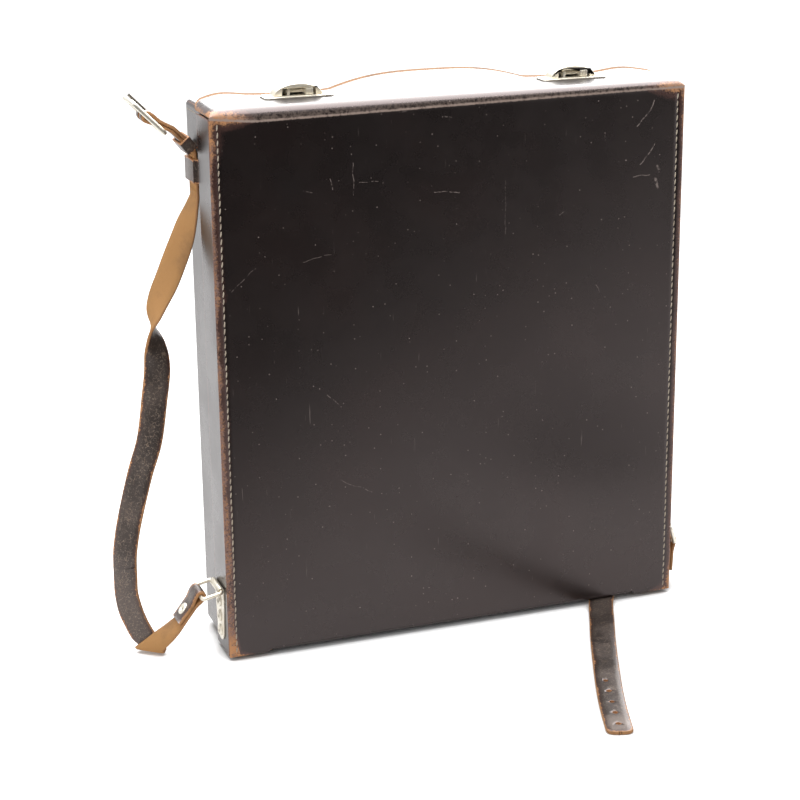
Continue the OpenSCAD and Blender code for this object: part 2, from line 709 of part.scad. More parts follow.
module feet() color(metal_col) foot_places() {
    rotate_extrude() polygon(concat([[0, 0]],
        [for (a = [-60 : 15 : 0])
            [foot_r - foot_curve * (1 - cos(a)), 0.52 * base_z * (1 + sin(a) / sin(60))]],
        [[foot_r, base_z], [0, base_z]]));
    translate([0, 0, base_z]) cylinder(h = foot_pin, r = foot_pin_r, $fn = 24);
}

// Strap fittings

keeper_x = skin_x + strap_gap + strap_t + strap_gap;
keeper_in = strap_w / 2 + 2 * strap_gap;
module keeper(s) color(hide_col) translate([0, keeper_y, keeper_z]) linear_extrude(keeper_h) {
    for (v = [-1, 1]) {
        translate([s > 0 ? skin_x : -skin_x - keeper_t, v > 0 ? keeper_in : -keeper_in - keeper_foot])
            square([keeper_t, keeper_foot]);
        translate([s > 0 ? skin_x : -keeper_x, v > 0 ? keeper_in : -keeper_in - keeper_t])
            square([keeper_x - skin_x, keeper_t]);
    }
    translate([s > 0 ? keeper_x : -keeper_x - keeper_t, -keeper_in - keeper_t])
        square([keeper_t, 2 * keeper_in + 2 * keeper_t]);
}

module lug(s) color(metal_col) difference() {
    union() {
        translate([s > 0 ? rim_x : -rim_x - lug_t, lug_y, 0]) rotate([90, 0, 90]) linear_extrude(lug_t) {
            translate([0, lug_z - lug_l + lug_round]) circle(lug_round);
            polygon([
                [-lug_round, lug_z - lug_l + lug_round], [lug_round, lug_z - lug_l + lug_round],
                [barrel_l / 2, lug_z - lug_neck], [barrel_l / 2, lug_z], [-barrel_l / 2, lug_z],
                [-barrel_l / 2, lug_z - lug_neck]]);
        }
        rod([s * barrel_x, lug_y - barrel_l / 2, lug_z],
            [s * barrel_x, lug_y + barrel_l / 2, lug_z], barrel_r);
    }
    rod([s * barrel_x, lug_y - barrel_l, lug_z], [s * barrel_x, lug_y + barrel_l, lug_z], wire_r + bar_gap);
    for (z = lug_rivet_zs)
        rod([s * (rim_x - 1), lug_y, z], [s * (rim_x + 2 * lug_t), lug_y, z], shank_r + hole_gap);
}

// A tubular rivet standing on z = 0, with its shank going down
module eyelet(r, h, shank) rotate_extrude() {
    bore = 0.6 * shank_r;
    polygon([[bore, -shank], [shank_r, -shank], [shank_r, 0], [r, 0], [r, 0.35 * h], [0.86 * r, 0.8 * h],
        [0.7 * r, h], [0.56 * r, 0.85 * h], [bore, 0.3 * h]]);
}

module lug_rivets(s) color(metal_col)
    for (z = lug_rivet_zs)
        translate([s * (rim_x + lug_t), lug_y, z]) rotate([0, s * 90, 0])
            eyelet(eyelet_r, eyelet_h, rim_t + lug_t);

// A wire frame from x = 0 to x = -l, with its side wires w apart
module wire_frame(l, w, r, bend) {
    h = w / 2;
    for (x = [0, -l]) rod([x, -h + bend, 0], [x, h - bend, 0], r);
    for (v = [-1, 1]) {
        rod([-bend, v * h, 0], [-l + bend, v * h, 0], r);
        for (x = [-bend, -l + bend])
            translate([x, v * (h - bend), 0])
                rotate([0, 0, x == -bend ? (v > 0 ? 0 : -90) : (v > 0 ? 90 : 180)])
                    rotate_extrude(angle = 90) translate([bend, 0]) circle(r);
    }
}

module ring_left() color(metal_col)
    translate([-barrel_x, lug_y, lug_z]) rotate([0, -left_ring_tilt, 0])
        wire_frame(ring_l, ring_w, wire_r, ring_bend);

module ring_right() color(metal_col)
    translate([barrel_x, lug_y, lug_z]) rotate([0, 180 + right_ring_tilt, 0])
        wire_frame(ring_l, ring_w, wire_r, ring_bend);

// A tab of the strap round a ring's outer bar, with a rivet through its two layers
module tab_rivet_place(bar, angle, side)
    translate([bar[0] + tab_rivet_at * cos(angle), lug_y, bar[1] + tab_rivet_at * sin(angle)])
        rotate([0, 90 - angle - side * 90, 0]) children();

module strap_tab(bar, angle, first_l, back_l, side) color(hide_col) difference() {
    across(lug_y, strap_w) ribbon(concat(
        fold_ahead(bar, angle, wrap_r, first_l, 1), fold_round(bar, angle, wrap_r),
        backward(fold_ahead(bar, angle, wrap_r, back_l, -1))), strap_t);
    tab_rivet_place(bar, angle, side)
        translate([0, 0, -3 * strap_t]) cylinder(h = 6 * strap_t, r = tab_shank_r + hole_gap);
}

module strap_tab_left() strap_tab(left_bar, left_angle, tab_run, tab_back, -1);
module strap_tab_right() strap_tab(right_bar, right_angle, tab_back, tab_run, 1);

tab_head_r = 4.3;
tab_head_h = 1.4;
tab_foot_r = 3.2;
tab_foot_h = 0.5;
// A hollow rivet whose head stands on the outer layer at the tab's middle
module tab_rivet() rotate_extrude() {
    top = layer_off + strap_t / 2;
    bore = 0.6 * tab_shank_r;
    polygon([[bore, -top - tab_foot_h], [tab_foot_r, -top - tab_foot_h],
        [tab_foot_r, -top], [tab_shank_r, -top],
        [tab_shank_r, top], [tab_head_r, top], [tab_head_r, top + 0.35 * tab_head_h],
        [0.86 * tab_head_r, top + 0.8 * tab_head_h], [0.7 * tab_head_r, top + tab_head_h],
        [0.5 * tab_head_r, top + 0.8 * tab_head_h], [bore, top + 0.2 * tab_head_h]]);
}
module tab_rivet_left() color(metal_col) tab_rivet_place(left_bar, left_angle, -1) tab_rivet();
module tab_rivet_right() color(metal_col) tab_rivet_place(right_bar, right_angle, 1) tab_rivet();

// Free lengths of the strap

left_low_rings = strap_rings([for (row = smooth(left_low_edges, route_steps))
    [[row[0], row[1], row[2]], [row[3], row[4], row[5]]]]);
left_high_rings = strap_rings(route_edges(left_route));
right_rings = strap_rings(route_edges(right_route));

module strap_left_low() color(hide_col) strap_piece(left_low_rings, 0, len(left_low_rings) - 1);
module strap_left_high() color(hide_col) strap_piece(left_high_rings, 0, len(left_high_rings) - 1);
module strap_right_low() color(hide_col) strap_piece(right_rings, 0, right_split * route_steps);
module strap_right_high() color(hide_col)
    strap_piece(right_rings, right_split * route_steps, tail_split * route_steps);

// The tail lies flat, so its outline is drawn in plan, with a rounded end and a row of holes
tail_tip = 7;
module strap_tail() color(hide_col) {
    rows = smooth(right_route, route_steps);
    first = tail_split * route_steps;
    n = len(rows);
    ends = [for (i = [first : n - 1]) edge_pair(rows, i)];
    left = [for (e = ends) [e[1][0], e[1][1]]];
    right = [for (e = ends) [e[0][0], e[0][1]]];
    m = len(ends) - 1;
    mid = (left[m] + right[m]) / 2;
    way = unit([rows[n - 1][0] - rows[n - 2][0], rows[n - 1][1] - rows[n - 2][1]]);
    tip = [for (a = [10 : 10 : 170]) mid + cos(a) * (left[m] - mid) + tail_tip * sin(a) * way];
    translate([0, 0, rows[n - 1][2] - strap_t / 2]) linear_extrude(strap_t) difference() {
        polygon(concat(left, tip, backward(right)));
        for (i = [0 : hole_count - 1]) translate(mid - (hole_first + i * hole_pitch) * way) circle(hole_r);
    }
}

// The strap's end at the left, up through the keeper, round the buckle's bar and back into the sleeve
sleeve_u = [cos(sleeve_angle), sin(sleeve_angle)];
sleeve_n = [sleeve_u[1], -sleeve_u[0]];
end_u = [cos(end_angle), sin(end_angle)];
end_n = [end_u[1], -end_u[0]];
end_wrap_r = buckle_r + wrap_gap + strap_t / 2;
module strap_end() color(hide_col) difference() {
    coming = [[keeper_strap_x, end_z], [keeper_strap_x, keeper_z + keeper_h - 2],
        [keeper_strap_x - 0.6, keeper_z + keeper_h + 1.5],
        sleeve_at - sleeve_l / 2 * sleeve_u + layer_off * sleeve_n,
        sleeve_at + sleeve_l / 2 * sleeve_u + layer_off * sleeve_n, bend_at + layer_off * end_n];
    returned = [bend_at - layer_off * end_n, sleeve_at + sleeve_l / 2 * sleeve_u - layer_off * sleeve_n,
        sleeve_at - 0.3 * sleeve_l * sleeve_u - layer_off * sleeve_n];
    around = concat(fold_ahead(buckle_at, end_angle + 180, end_wrap_r, end_l, 1),
        fold_round(buckle_at, end_angle + 180, end_wrap_r),
        backward(fold_ahead(buckle_at, end_angle + 180, end_wrap_r, end_l, -1)));
    across(keeper_y, strap_w) ribbon(concat(smooth(coming, 3), around, smooth(returned, 3)), strap_t);
    // Slot for the prong
    translate([buckle_at[0], keeper_y, buckle_at[1]]) rotate([0, -end_angle, 0])
        block([prong_slot[0], -prong_w / 2 - strap_gap, -10], [prong_slot[1], prong_w / 2 + strap_gap, 10]);
}

module strap_sleeve() color(hide_col)
    translate([sleeve_at[0], keeper_y, sleeve_at[1]]) rotate([0, 90 - sleeve_angle, 0]) {
        w = strap_w + 2 * sleeve_gap;
        d = 2 * (layer_off + strap_t / 2 + sleeve_room);
        translate([0, 0, -sleeve_l / 2]) linear_extrude(sleeve_l) difference() {
            square([d + 2 * sleeve_t, w + 2 * sleeve_t], center = true);
            square([d, w], center = true);
        }
    }

module buckle_place()
    translate([buckle_at[0], keeper_y, buckle_at[1]]) rotate([0, -buckle_angle, 0]) children();

module buckle_frame() color(metal_col) buckle_place() {
    translate([buckle_l / 2, 0, 0]) wire_frame(buckle_l, buckle_w, buckle_r, buckle_bend);
    rod([0, -buckle_w / 2, 0], [0, buckle_w / 2, 0], buckle_r);
}

module buckle_prong() color(metal_col) buckle_place() {
    rotate([90, 0, 0]) translate([0, 0, -prong_w / 2]) linear_extrude(prong_w) difference() {
        circle(buckle_r + bar_gap + prong_wall);
        circle(buckle_r + bar_gap);
    }
    low = -buckle_r - prong_r - prong_gap;
    rod([0, 0, low], [buckle_l / 2 + prong_reach, 0, low], prong_r);
}

// The floor under the front left foot's middle is the origin
module placed() translate([foot_x, -foot_ys[0], 0]) children();

placed() front_sheet();
placed() cover_board();
placed() cover_lining();
placed() rim(-1);  // rim_left
placed() rim(1);  // rim_right
placed() hinge_strip();
placed() crease_strip();
placed() flap();
placed() translate([-lock_x, 0, 0]) lock_plate();  // lock_plate_left
placed() translate([lock_x, 0, 0]) lock_plate();  // lock_plate_right
placed() translate([-lock_x, 0, 0]) lock_housing();  // lock_housing_left
placed() translate([lock_x, 0, 0]) lock_housing();  // lock_housing_right
placed() lock_rivets();
placed() translate([-lock_x, 0, 0]) lock_button();  // lock_button_left
placed() translate([lock_x, 0, 0]) lock_button();  // lock_button_right
placed() translate([-lock_x, 0, 0]) staple();  // staple_left
placed() translate([lock_x, 0, 0]) staple();  // staple_right
placed() base_board();
placed() top_board();
placed() side_board(-1);  // side_board_left
placed() side_board(1);  // side_board_right
placed() back_board();
placed() base_skin();
placed() top_skin();
placed() side_skin(-1);  // side_skin_left
placed() side_skin(1);  // side_skin_right
placed() back_skin();
placed() box_lining();
placed() shelf();
placed() upper_divider();
placed() lower_divider(-1);  // lower_divider_left
placed() lower_divider(1);  // lower_divider_right
placed() feet();
placed() keeper(-1);  // keeper_left
placed() keeper(1);  // keeper_right
placed() lug(-1);  // lug_left
placed() lug(1);  // lug_right
placed() lug_rivets(-1);  // lug_rivets_left
placed() lug_rivets(1);  // lug_rivets_right
placed() ring_left();
placed() ring_right();
placed() strap_tab_left();
placed() strap_tab_right();
placed() tab_rivet_left();
placed() tab_rivet_right();
placed() strap_left_low();
placed() strap_left_high();
placed() strap_right_low();
placed() strap_right_high();
placed() strap_tail();
placed() strap_end();
placed() strap_sleeve();
placed() buckle_frame();
placed() buckle_prong();
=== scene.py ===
"""Looks for a flat leather camera case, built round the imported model.

Lengths are in millimetres until a mesh is made. X runs to the right, Y to the back and Z up.
"""

import contextlib
import math
import random

import bmesh
import bpy
from mathutils import Matrix, Vector, noise


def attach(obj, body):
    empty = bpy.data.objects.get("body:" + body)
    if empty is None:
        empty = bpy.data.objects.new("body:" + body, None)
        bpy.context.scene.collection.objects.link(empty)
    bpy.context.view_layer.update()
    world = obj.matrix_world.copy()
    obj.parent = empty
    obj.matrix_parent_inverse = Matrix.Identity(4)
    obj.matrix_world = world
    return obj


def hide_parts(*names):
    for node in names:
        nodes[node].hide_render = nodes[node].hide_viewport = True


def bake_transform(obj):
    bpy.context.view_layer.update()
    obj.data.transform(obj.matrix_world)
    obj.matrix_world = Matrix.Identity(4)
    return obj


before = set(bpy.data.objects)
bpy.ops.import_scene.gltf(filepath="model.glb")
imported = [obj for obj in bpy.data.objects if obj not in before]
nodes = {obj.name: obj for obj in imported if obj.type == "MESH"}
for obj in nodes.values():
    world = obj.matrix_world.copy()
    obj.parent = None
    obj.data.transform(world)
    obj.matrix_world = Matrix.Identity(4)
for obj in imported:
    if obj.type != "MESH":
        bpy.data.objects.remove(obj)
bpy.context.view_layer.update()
MM = 0.001
ORIGIN = Vector((155.0, 22.0, 0.0))


def at(p):
    """A place measured in millimetres from the case's middle, as a place in the frame."""
    return (Vector(p) + ORIGIN) * MM


def heading(degrees):
    """The way that an angle points in a plane."""
    return Vector((math.cos(math.radians(degrees)), math.sin(math.radians(degrees))))


# Sizes of the case, as in the part's source
HALF_W = 170.0
FRONT_Y, BACK_Y = -36.0, 36.0
HIDE = 2.0
FRONT_LOW = 3.0
HINGE_R, HINGE_HALF, HINGE_BACK = 3.0, 140.0, -19.0
CREASE_LOW, CREASE_Z, CREASE_HIGH = 376.5, 378.0, 379.5
FLAP_Z, FLAP_BACK, ROLL = 384.0, 22.0, 8.0
RIM_BACK = -3.0
CORNER_W = 33.0
BOW_H, BOW_HALF = 9.0, 72.0
EAR_H, EAR_IN = 1.8, 126.0
DIP, LOCK_X = 9.0, 100.0
MOUTH_Y, SKIN_X = -29.6, 167.6
BOX_LOW, BOX_TOP = 5.0, 381.6
LUG_Y, LUG_Z = -17.0, 50.0
KEEPER_Y = 13.0
STRAP_W, STRAP_T = 18.0, 2.4
LAYER = STRAP_T / 2 + 0.06
SLEEVE_ANGLE = 127.0

# Thickness of the sheet of the front and the flap, and of the box's hide
SHEET_T, BOX_HIDE_T = 1.9, 1.55
# Where the front's stitches run, and the groove that they press in: its depth and half width
STITCH_X, GROOVE_DEEP, GROOVE_HALF = 164.8, 0.42, 0.75


# ---------------------------------------------------------------- materials


class Graph:
    """The nodes of one material or node group."""

    def __init__(self, tree):
        self.tree = tree

    def add(self, kind, inputs=None, **settings):
        made = self.tree.nodes.new(kind)
        for key, value in settings.items():
            setattr(made, key, value)
        for key, value in (inputs or {}).items():
            self.feed(value, made.inputs[key])
        return made

    def feed(self, value, socket):
        if isinstance(value, bpy.types.NodeSocket):
            self.tree.links.new(value, socket)
        else:
            socket.default_value = value

    def math(self, operation, a, b, clamp=False):
        return self.add("ShaderNodeMath", {0: a, 1: b}, operation=operation, use_clamp=clamp).outputs[0]

    def plus(self, a, b):
        return self.math("ADD", a, b)

    def minus(self, a, b):
        return self.math("SUBTRACT", a, b)

    def times(self, a, b, clamp=False):
        return self.math("MULTIPLY", a, b, clamp)

    def highest(self, value, *others):
        for other in others:
            value = self.math("MAXIMUM", value, other)
        return value

    def vector(self, operation, a, b=(0.0, 0.0, 0.0), gives="Vector"):
        return self.add("ShaderNodeVectorMath", {0: a, 1: b}, operation=operation).outputs[gives]

    def scaled(self, a, scale):
        return self.add("ShaderNodeVectorMath", {0: a, "Scale": scale}, operation="SCALE").outputs["Vector"]

    def step(self, value, low, high, to_low=0.0, to_high=1.0):
        """value eased from to_low at low to to_high at high."""
        return self.add("ShaderNodeMapRange", {"Value": value, "From Min": low, "From Max": high,
                                               "To Min": to_low, "To Max": to_high},
                        interpolation_type="SMOOTHSTEP").outputs["Result"]

    def mix(self, factor, a, b):
        made = self.add("ShaderNodeMix", {0: factor}, data_type="RGBA")
        self.feed(a, made.inputs[6])
        self.feed(b, made.inputs[7])
        return made.outputs[2]

    def noise(self, position, scale, detail=3.0, roughness=0.55):
        return self.add("ShaderNodeTexNoise", {"Vector": position, "Scale": scale, "Detail": detail,
                                               "Roughness": roughness}).outputs["Fac"]

    def drift(self, position, scale):
        """Noise in three numbers, to bend what is drawn."""
        return self.add("ShaderNodeTexNoise", {"Vector": position, "Scale": scale}).outputs["Color"]

    def cells(self, position, scale, feature):
        return self.add("ShaderNodeTexVoronoi", {"Vector": position, "Scale": scale}, feature=feature).outputs

    def stretched(self, position, scale, rotation=(0.0, 0.0, 0.0)):
        return self.add("ShaderNodeMapping",
                        {"Vector": position, "Scale": scale, "Rotation": rotation}).outputs["Vector"]

    def attribute(self, name, output="Fac"):
        return self.add("ShaderNodeAttribute", attribute_name=name).outputs[output]

    def rest_place(self):
        """The place that a point has at rest, for leather that bends."""
        return self.attribute("rest", "Vector")

    def own_place(self):
        """The place on the object itself, for what stays stiff."""
        return self.add("ShaderNodeTexCoord").outputs["Object"]

    def bump(self, height, strength, distance):
        return self.add("ShaderNodeBump",
                        {"Height": height, "Strength": strength, "Distance": distance}).outputs["Normal"]

    def group(self, tree, **inputs):
        return self.add("ShaderNodeGroup", inputs, node_tree=tree).outputs

    def seen_directly(self):
        """1 for the camera, in a reflection and through glass, 0 for light that only falls on things."""
        ray = self.add("ShaderNodeLightPath").outputs
        return self.highest(ray["Is Camera Ray"], ray["Is Glossy Ray"], ray["Is Transmission Ray"])


def effect_group(name, inputs, outputs):
    """An empty node group: its graph, what it is given and what it puts out. An input with no
    number beside it is a place."""
    tree = bpy.data.node_groups.new(name, "ShaderNodeTree")
    for label, value in inputs.items():
        kind = "NodeSocketVector" if value is None else "NodeSocketFloat"
        socket = tree.interface.new_socket(label, in_out="INPUT", socket_type=kind)
        if value is not None:
            socket.default_value = value
    for label in outputs:
        tree.interface.new_socket(label, in_out="OUTPUT", socket_type="NodeSocketFloat")
    return Graph(tree), tree.nodes.new("NodeGroupInput").outputs, tree.nodes.new("NodeGroupOutput").inputs


def make_grain_group():
    """Pebbled, finely cracked leather grain."""
    g, given, out = effect_group("Leather grain", {"Position": None, "Pebble": 1400.0, "Cracking": 0.5},
                                 ("Height", "Cracks"))
    position = given["Position"]
    pebbles = g.cells(position, given["Pebble"], "SMOOTH_F1")["Distance"]
    wander = g.noise(position, 260.0, 4.0, 0.6)
    warped = g.vector("ADD", position, g.scaled(g.drift(position, 300.0), 0.0016))
    plates = g.cells(warped, 330.0, "DISTANCE_TO_EDGE")["Distance"]
    cracks = g.times(g.step(plates, 0.0, 0.07, 1.0, 0.0), g.step(wander, 0.45, 0.62))
    cracks = g.times(cracks, given["Cracking"], clamp=True)
    height = g.plus(g.times(pebbles, 0.35), g.times(wander, 0.7))
    g.feed(g.minus(height, g.times(cracks, 0.5)), out["Height"])
    g.feed(cracks, out["Cracks"])
    return g.tree


def make_wear_group():
    """Rubbed edges. Distance is 0 at the edge and 1 where the rubbed band ends; the band frays out.
    Rubbed is the whole band and Bare its rawest part."""
    g, given, out = effect_group("Edge wear", {"Position": None, "Distance": 10.0, "Fray": 1.0},
                                 ("Rubbed", "Bare"))
    coarse = g.noise(given["Position"], 48.0, 3.0, 0.6)
    fine = g.noise(given["Position"], 640.0, 4.0, 0.7)
    ragged = g.plus(g.times(g.minus(coarse, 0.5), 2.2), g.times(g.minus(fine, 0.5), 2.6))
    reach = g.minus(g.times(ragged, given["Fray"]), given["Distance"])
    g.feed(g.step(reach, -1.15, -0.6), out["Rubbed"])
    g.feed(g.step(reach, -0.42, -0.1), out["Bare"])
    return g.tree


# Hairlines: the turn of their run, how close they lie, and the noise above which one shows
HAIRLINES = ((0.5, 620.0, 0.72), (-0.9, 520.0, 0.735), (1.45, 700.0, 0.74))
# Specks: how close they lie, their size and the share of places left empty
SPECKS = ((230.0, 0.13, 0.62), (95.0, 0.055, 0.7))


def make_scratch_group():
    """Fine hairline marks in three directions, and small light specks."""
    g, given, out = effect_group("Scratches and specks", {"Position": None}, ("Mask",))
    position = given["Position"]
    marks = []
    for turn, scale, low in HAIRLINES:
        lined = g.stretched(position, (1.0, 1.0, 0.06), (0.0, turn, 0.0))
        line = g.step(g.noise(lined, scale, 2.0, 0.5), low, low + 0.04)
        patch = g.step(g.noise(position, 22.0 + 9.0 * turn, 2.0, 0.5), 0.52, 0.68)
        marks.append(g.times(line, g.times(patch, 0.55)))
    for scale, size, empty in SPECKS:
        cells = g.cells(position, scale, "F1")
        chance = g.add("ShaderNodeSeparateColor", {0: cells["Color"]}).outputs[0]
        dot = g.step(cells["Distance"], size * 0.4, size, 1.0, 0.0)
        marks.append(g.times(dot, g.step(chance, empty, empty + 0.3)))
    g.feed(g.highest(*marks), out["Mask"])
    return g.tree


def make_line_group():
    """One thin mark between two places, broken up along its length."""
    g, given, out = effect_group("Line mark", {"Position": None, "Start": None, "End": None, "Width": 0.0004},
                                 ("Mask",))
    position, start = given["Position"], given["Start"]
    wander = g.vector("MULTIPLY", g.drift(position, 90.0), (0.004, 0.0, 0.004))
    bent = g.vector("SUBTRACT", g.vector("ADD", position, wander), (0.002, 0.0, 0.002))
    # A mark lies in the face, so depth counts for little
    away = g.vector("MULTIPLY", g.vector("SUBTRACT", bent, start), (1.0, 0.2, 1.0))
    span = g.vector("SUBTRACT", given["End"], start)
    share = g.math("DIVIDE", g.vector("DOT_PRODUCT", away, span, "Value"),
                   g.vector("DOT_PRODUCT", span, span, "Value"), clamp=True)
    distance = g.vector("LENGTH", g.vector("SUBTRACT", away, g.scaled(span, share)), gives="Value")
    line = g.step(g.math("DIVIDE", distance, given["Width"]), 0.4, 1.1, 1.0, 0.0)
    g.feed(g.times(line, g.step(g.noise(position, 420.0, 3.0, 0.6), 0.4, 0.56)), out["Mask"])
    return g.tree


GRAIN = make_grain_group()
WEAR = make_wear_group()
SCRATCHES = make_scratch_group()
LINE = make_line_group()


def material(name, fixed):
    """A new material, its graph and its shader's sockets; fixed is what is the same all over."""
    made = bpy.data.materials.new(name)
    made.use_nodes = True
    into = made.node_tree.nodes["Principled BSDF"].inputs
    for key, value in fixed.items():
        into[key].default_value = value
    return made, Graph(made.node_tree), into


NEAR_BLACK = (0.0068, 0.0050, 0.0048, 1.0)
BROWN_BLACK = (0.0105, 0.0062, 0.0056, 1.0)
RED_BROWN = (0.055, 0.026, 0.021, 1.0)
DARK_WORN = (0.075, 0.035, 0.027, 1.0)
WORN_TAN = (0.21, 0.125, 0.105, 1.0)
TAN = (0.34, 0.165, 0.075, 1.0)
ORANGE_TAN = (0.5, 0.235, 0.095, 1.0)
SUEDE = (0.46, 0.24, 0.09, 1.0)
PALE_MARK = (0.27, 0.22, 0.2, 1.0)
# Pale line along the crease: worn colour with a painted highlight in it
CREASE_WEAR_AND_HIGHLIGHT = (0.34, 0.26, 0.22, 1.0)
STRAP_DARK, STRAP_WARM = (0.034, 0.026, 0.0225, 1.0), (0.074, 0.055, 0.045, 1.0)
STRAP_FLECK, STRAP_CRACK = (0.33, 0.26, 0.2, 1.0), (0.27, 0.19, 0.13, 1.0)
FADED_DARK, FADED_PALE = (0.11, 0.082, 0.068, 1.0), (0.24, 0.19, 0.16, 1.0)
METAL_SPOT = (0.12, 0.09, 0.06, 1.0)
BOARD_DARK, BOARD_PALE = (0.3, 0.2, 0.11, 1.0), (0.5, 0.37, 0.23, 1.0)
WHITE, BLACK = (1.0, 1.0, 1.0, 1.0), (0.0, 0.0, 0.0, 1.0)

# Scratches on the front: X and Z of both ends, width and strength
FRONT_MARKS = (
    (-89.6, 334.6, -87.7, 327.1, 0.35, 0.8), (-74.2, 344.1, -73.2, 321.2, 0.3, 0.7),
    (-69.8, 329.7, -56.2, 330.0, 0.3, 0.7), (-108.4, 326.7, -99.5, 324.7, 0.3, 0.6),
    (-10.5, 368.9, -4.1, 368.5, 0.4, 0.7), (-16.5, 319.4, 2.3, 317.9, 0.35, 0.8),
    (133.8, 353.0, 143.5, 362.7, 0.45, 0.9), (143.5, 362.7, 147.1, 370.8, 0.45, 0.9),
    (136.9, 326.2, 148.8, 340.7, 0.4, 0.9), (150.1, 324.5, 151.8, 320.8, 1.0, 0.8),
    (149.6, 316.0, 151.3, 308.8, 1.2, 0.8), (131.7, 318.1, 144.8, 319.2, 0.4, 0.7),
    (109.5, 351.2, 110.4, 345.6, 0.3, 0.7), (35.2, 323.5, 35.4, 286.0, 0.25, 0.4),
    (-160.3, 263.5, -142.0, 278.7, 0.3, 0.6), (-109.7, 279.7, -90.8, 282.8, 0.3, 0.5),
    (-95.1, 185.7, -85.3, 175.9, 0.3, 0.6), (-40.2, 374.9, -34.5, 374.5, 0.3, 0.6),
    (76.4, 295.8, 80.9, 299.0, 0.3, 0.6), (104.9, 243.3, 108.1, 237.9, 0.3, 0.5),
    (-87.1, 123.3, -63.9, 111.3, 0.3, 0.5))


def make_hide():
    """Near-black polished hide of the case, rubbed through to tan at its edges."""
    made, g, into = material("Polished hide", {"Specular IOR Level": 0.6,
                                               "Specular Tint": (1.0, 0.84, 0.82, 1.0)})
    rest = g.rest_place()
    wear = g.group(WEAR, Position=rest, Distance=g.attribute("edge"), Fray=0.55)
    marks = g.group(SCRATCHES, Position=rest)["Mask"]
    for x0, z0, x1, z1, width, strength in FRONT_MARKS:
        mark = g.group(LINE, Position=rest, Start=(x0 * MM, FRONT_Y * MM, z0 * MM),
                       End=(x1 * MM, FRONT_Y * MM, z1 * MM), Width=width * MM)["Mask"]
        marks = g.highest(marks, g.times(mark, strength))
    body = g.mix(g.step(g.noise(rest, 11.0, 4.0, 0.6), 0.4, 0.75), NEAR_BLACK, BROWN_BLACK)
    body = g.mix(g.times(marks, 0.8), body, PALE_MARK)
    tan = g.mix(g.step(g.noise(rest, 420.0, 4.0, 0.7), 0.42, 0.62), WORN_TAN, TAN)
    tan = g.mix(g.step(g.noise(rest, 700.0, 3.0, 0.7), 0.5, 0.68), tan, DARK_WORN)
    raw = g.times(g.attribute("raw"), g.step(g.noise(rest, 300.0, 4.0, 0.7), 0.3, 0.55))
    colour = g.mix(wear["Bare"], g.mix(wear["Rubbed"], body, RED_BROWN), g.mix(raw, tan, ORANGE_TAN))
    # The pale line along the crease is partly wear and partly a painted highlight on the crease's edge
    line = g.times(g.attribute("crease_wear_and_highlight"), g.step(g.noise(rest, 480.0, 4.0, 0.75), 0.3, 0.6, 0.62, 1.0))
    g.feed(g.mix(g.step(line, 0.3, 0.8), colour, CREASE_WEAR_AND_HIGHLIGHT), into["Base Color"])
    polish = g.step(g.noise(rest, 26.0, 4.0, 0.62), 0.3, 0.7, 0.25, 0.31)
    rough = g.plus(polish, g.times(wear["Bare"], 0.25))
    g.feed(g.plus(rough, g.times(marks, 0.15)), into["Roughness"])
    grain = g.group(GRAIN, Position=rest, Pebble=1500.0, Cracking=0.25)["Height"]
    g.feed(g.bump(g.minus(grain, g.times(marks, 0.3)), 0.2, 0.00015), into["Normal"])
    return made


def make_strap_grain():
    """Dark strap grain with fine light cracks, grey with handling, and rubbed tan sides."""
    made, g, into = material("Strap grain side", {"Specular IOR Level": 0.7,
                                                  "Specular Tint": (1.0, 0.88, 0.84, 1.0)})
    rest = g.rest_place()
    grain = g.group(GRAIN, Position=rest, Pebble=1200.0, Cracking=1.0)
    wear = g.group(WEAR, Position=rest, Distance=g.attribute("edge"), Fray=0.75)
    clouds = g.noise(rest, 34.0, 4.0, 0.65)
    flecks = g.step(g.noise(rest, 760.0, 4.0, 0.75), 0.55, 0.64)
    body = g.mix(g.step(clouds, 0.38, 0.68), STRAP_DARK, STRAP_WARM)
    body = g.mix(g.times(flecks, 0.5), body, STRAP_FLECK)
    body = g.mix(g.times(grain["Cracks"], 0.6), body, STRAP_CRACK)
    faded = g.mix(g.noise(rest, 300.0, 4.0, 0.7), FADED_DARK, FADED_PALE)
    body = g.mix(g.step(g.attribute("raw"), 0.1, 0.9), body, faded)
    colour = g.mix(g.times(wear["Rubbed"], 0.8), body, RED_BROWN)
    g.feed(g.mix(wear["Bare"], colour, ORANGE_TAN), into["Base Color"])
    rough = g.plus(g.step(clouds, 0.3, 0.7, 0.34, 0.46), g.times(wear["Bare"], 0.2))
    g.feed(rough, into["Roughness"])
    g.feed(g.bump(grain["Height"], 0.5, 0.0003), into["Normal"])
    return made


def make_soft(name, fixed, place, patches, tones, fine, share, tips, relief):
    """A finish of two tones in soft patches, under a fine texture whose tips have a third colour.
    patches is their scale and detail and the noise where one tone starts and stops giving way;
    share is how much of the tips' colour shows; relief is the bump's strength and depth."""
    made, g, into = material(name, fixed)
    position = place(g)
    scale, detail, low, high = patches
    texture = fine(g, position)
    colour = g.mix(g.step(g.noise(position, scale, detail, 0.6), low, high), *tones)
    g.feed(g.mix(g.times(texture, share), colour, tips), into["Base Color"])
    g.feed(g.bump(texture, *relief), into["Normal"])
    return made


def nap(scale, detail, roughness):
    """A fine nap of fibres."""
    return lambda g, position: g.noise(position, scale, detail, roughness)


def twist(g, position):
    """The lay of a twisted thread."""
    return g.add("ShaderNodeTexWave", {"Vector": position, "Scale": 900.0, "Distortion": 1.5},
                 bands_direction="DIAGONAL").outputs["Fac"]


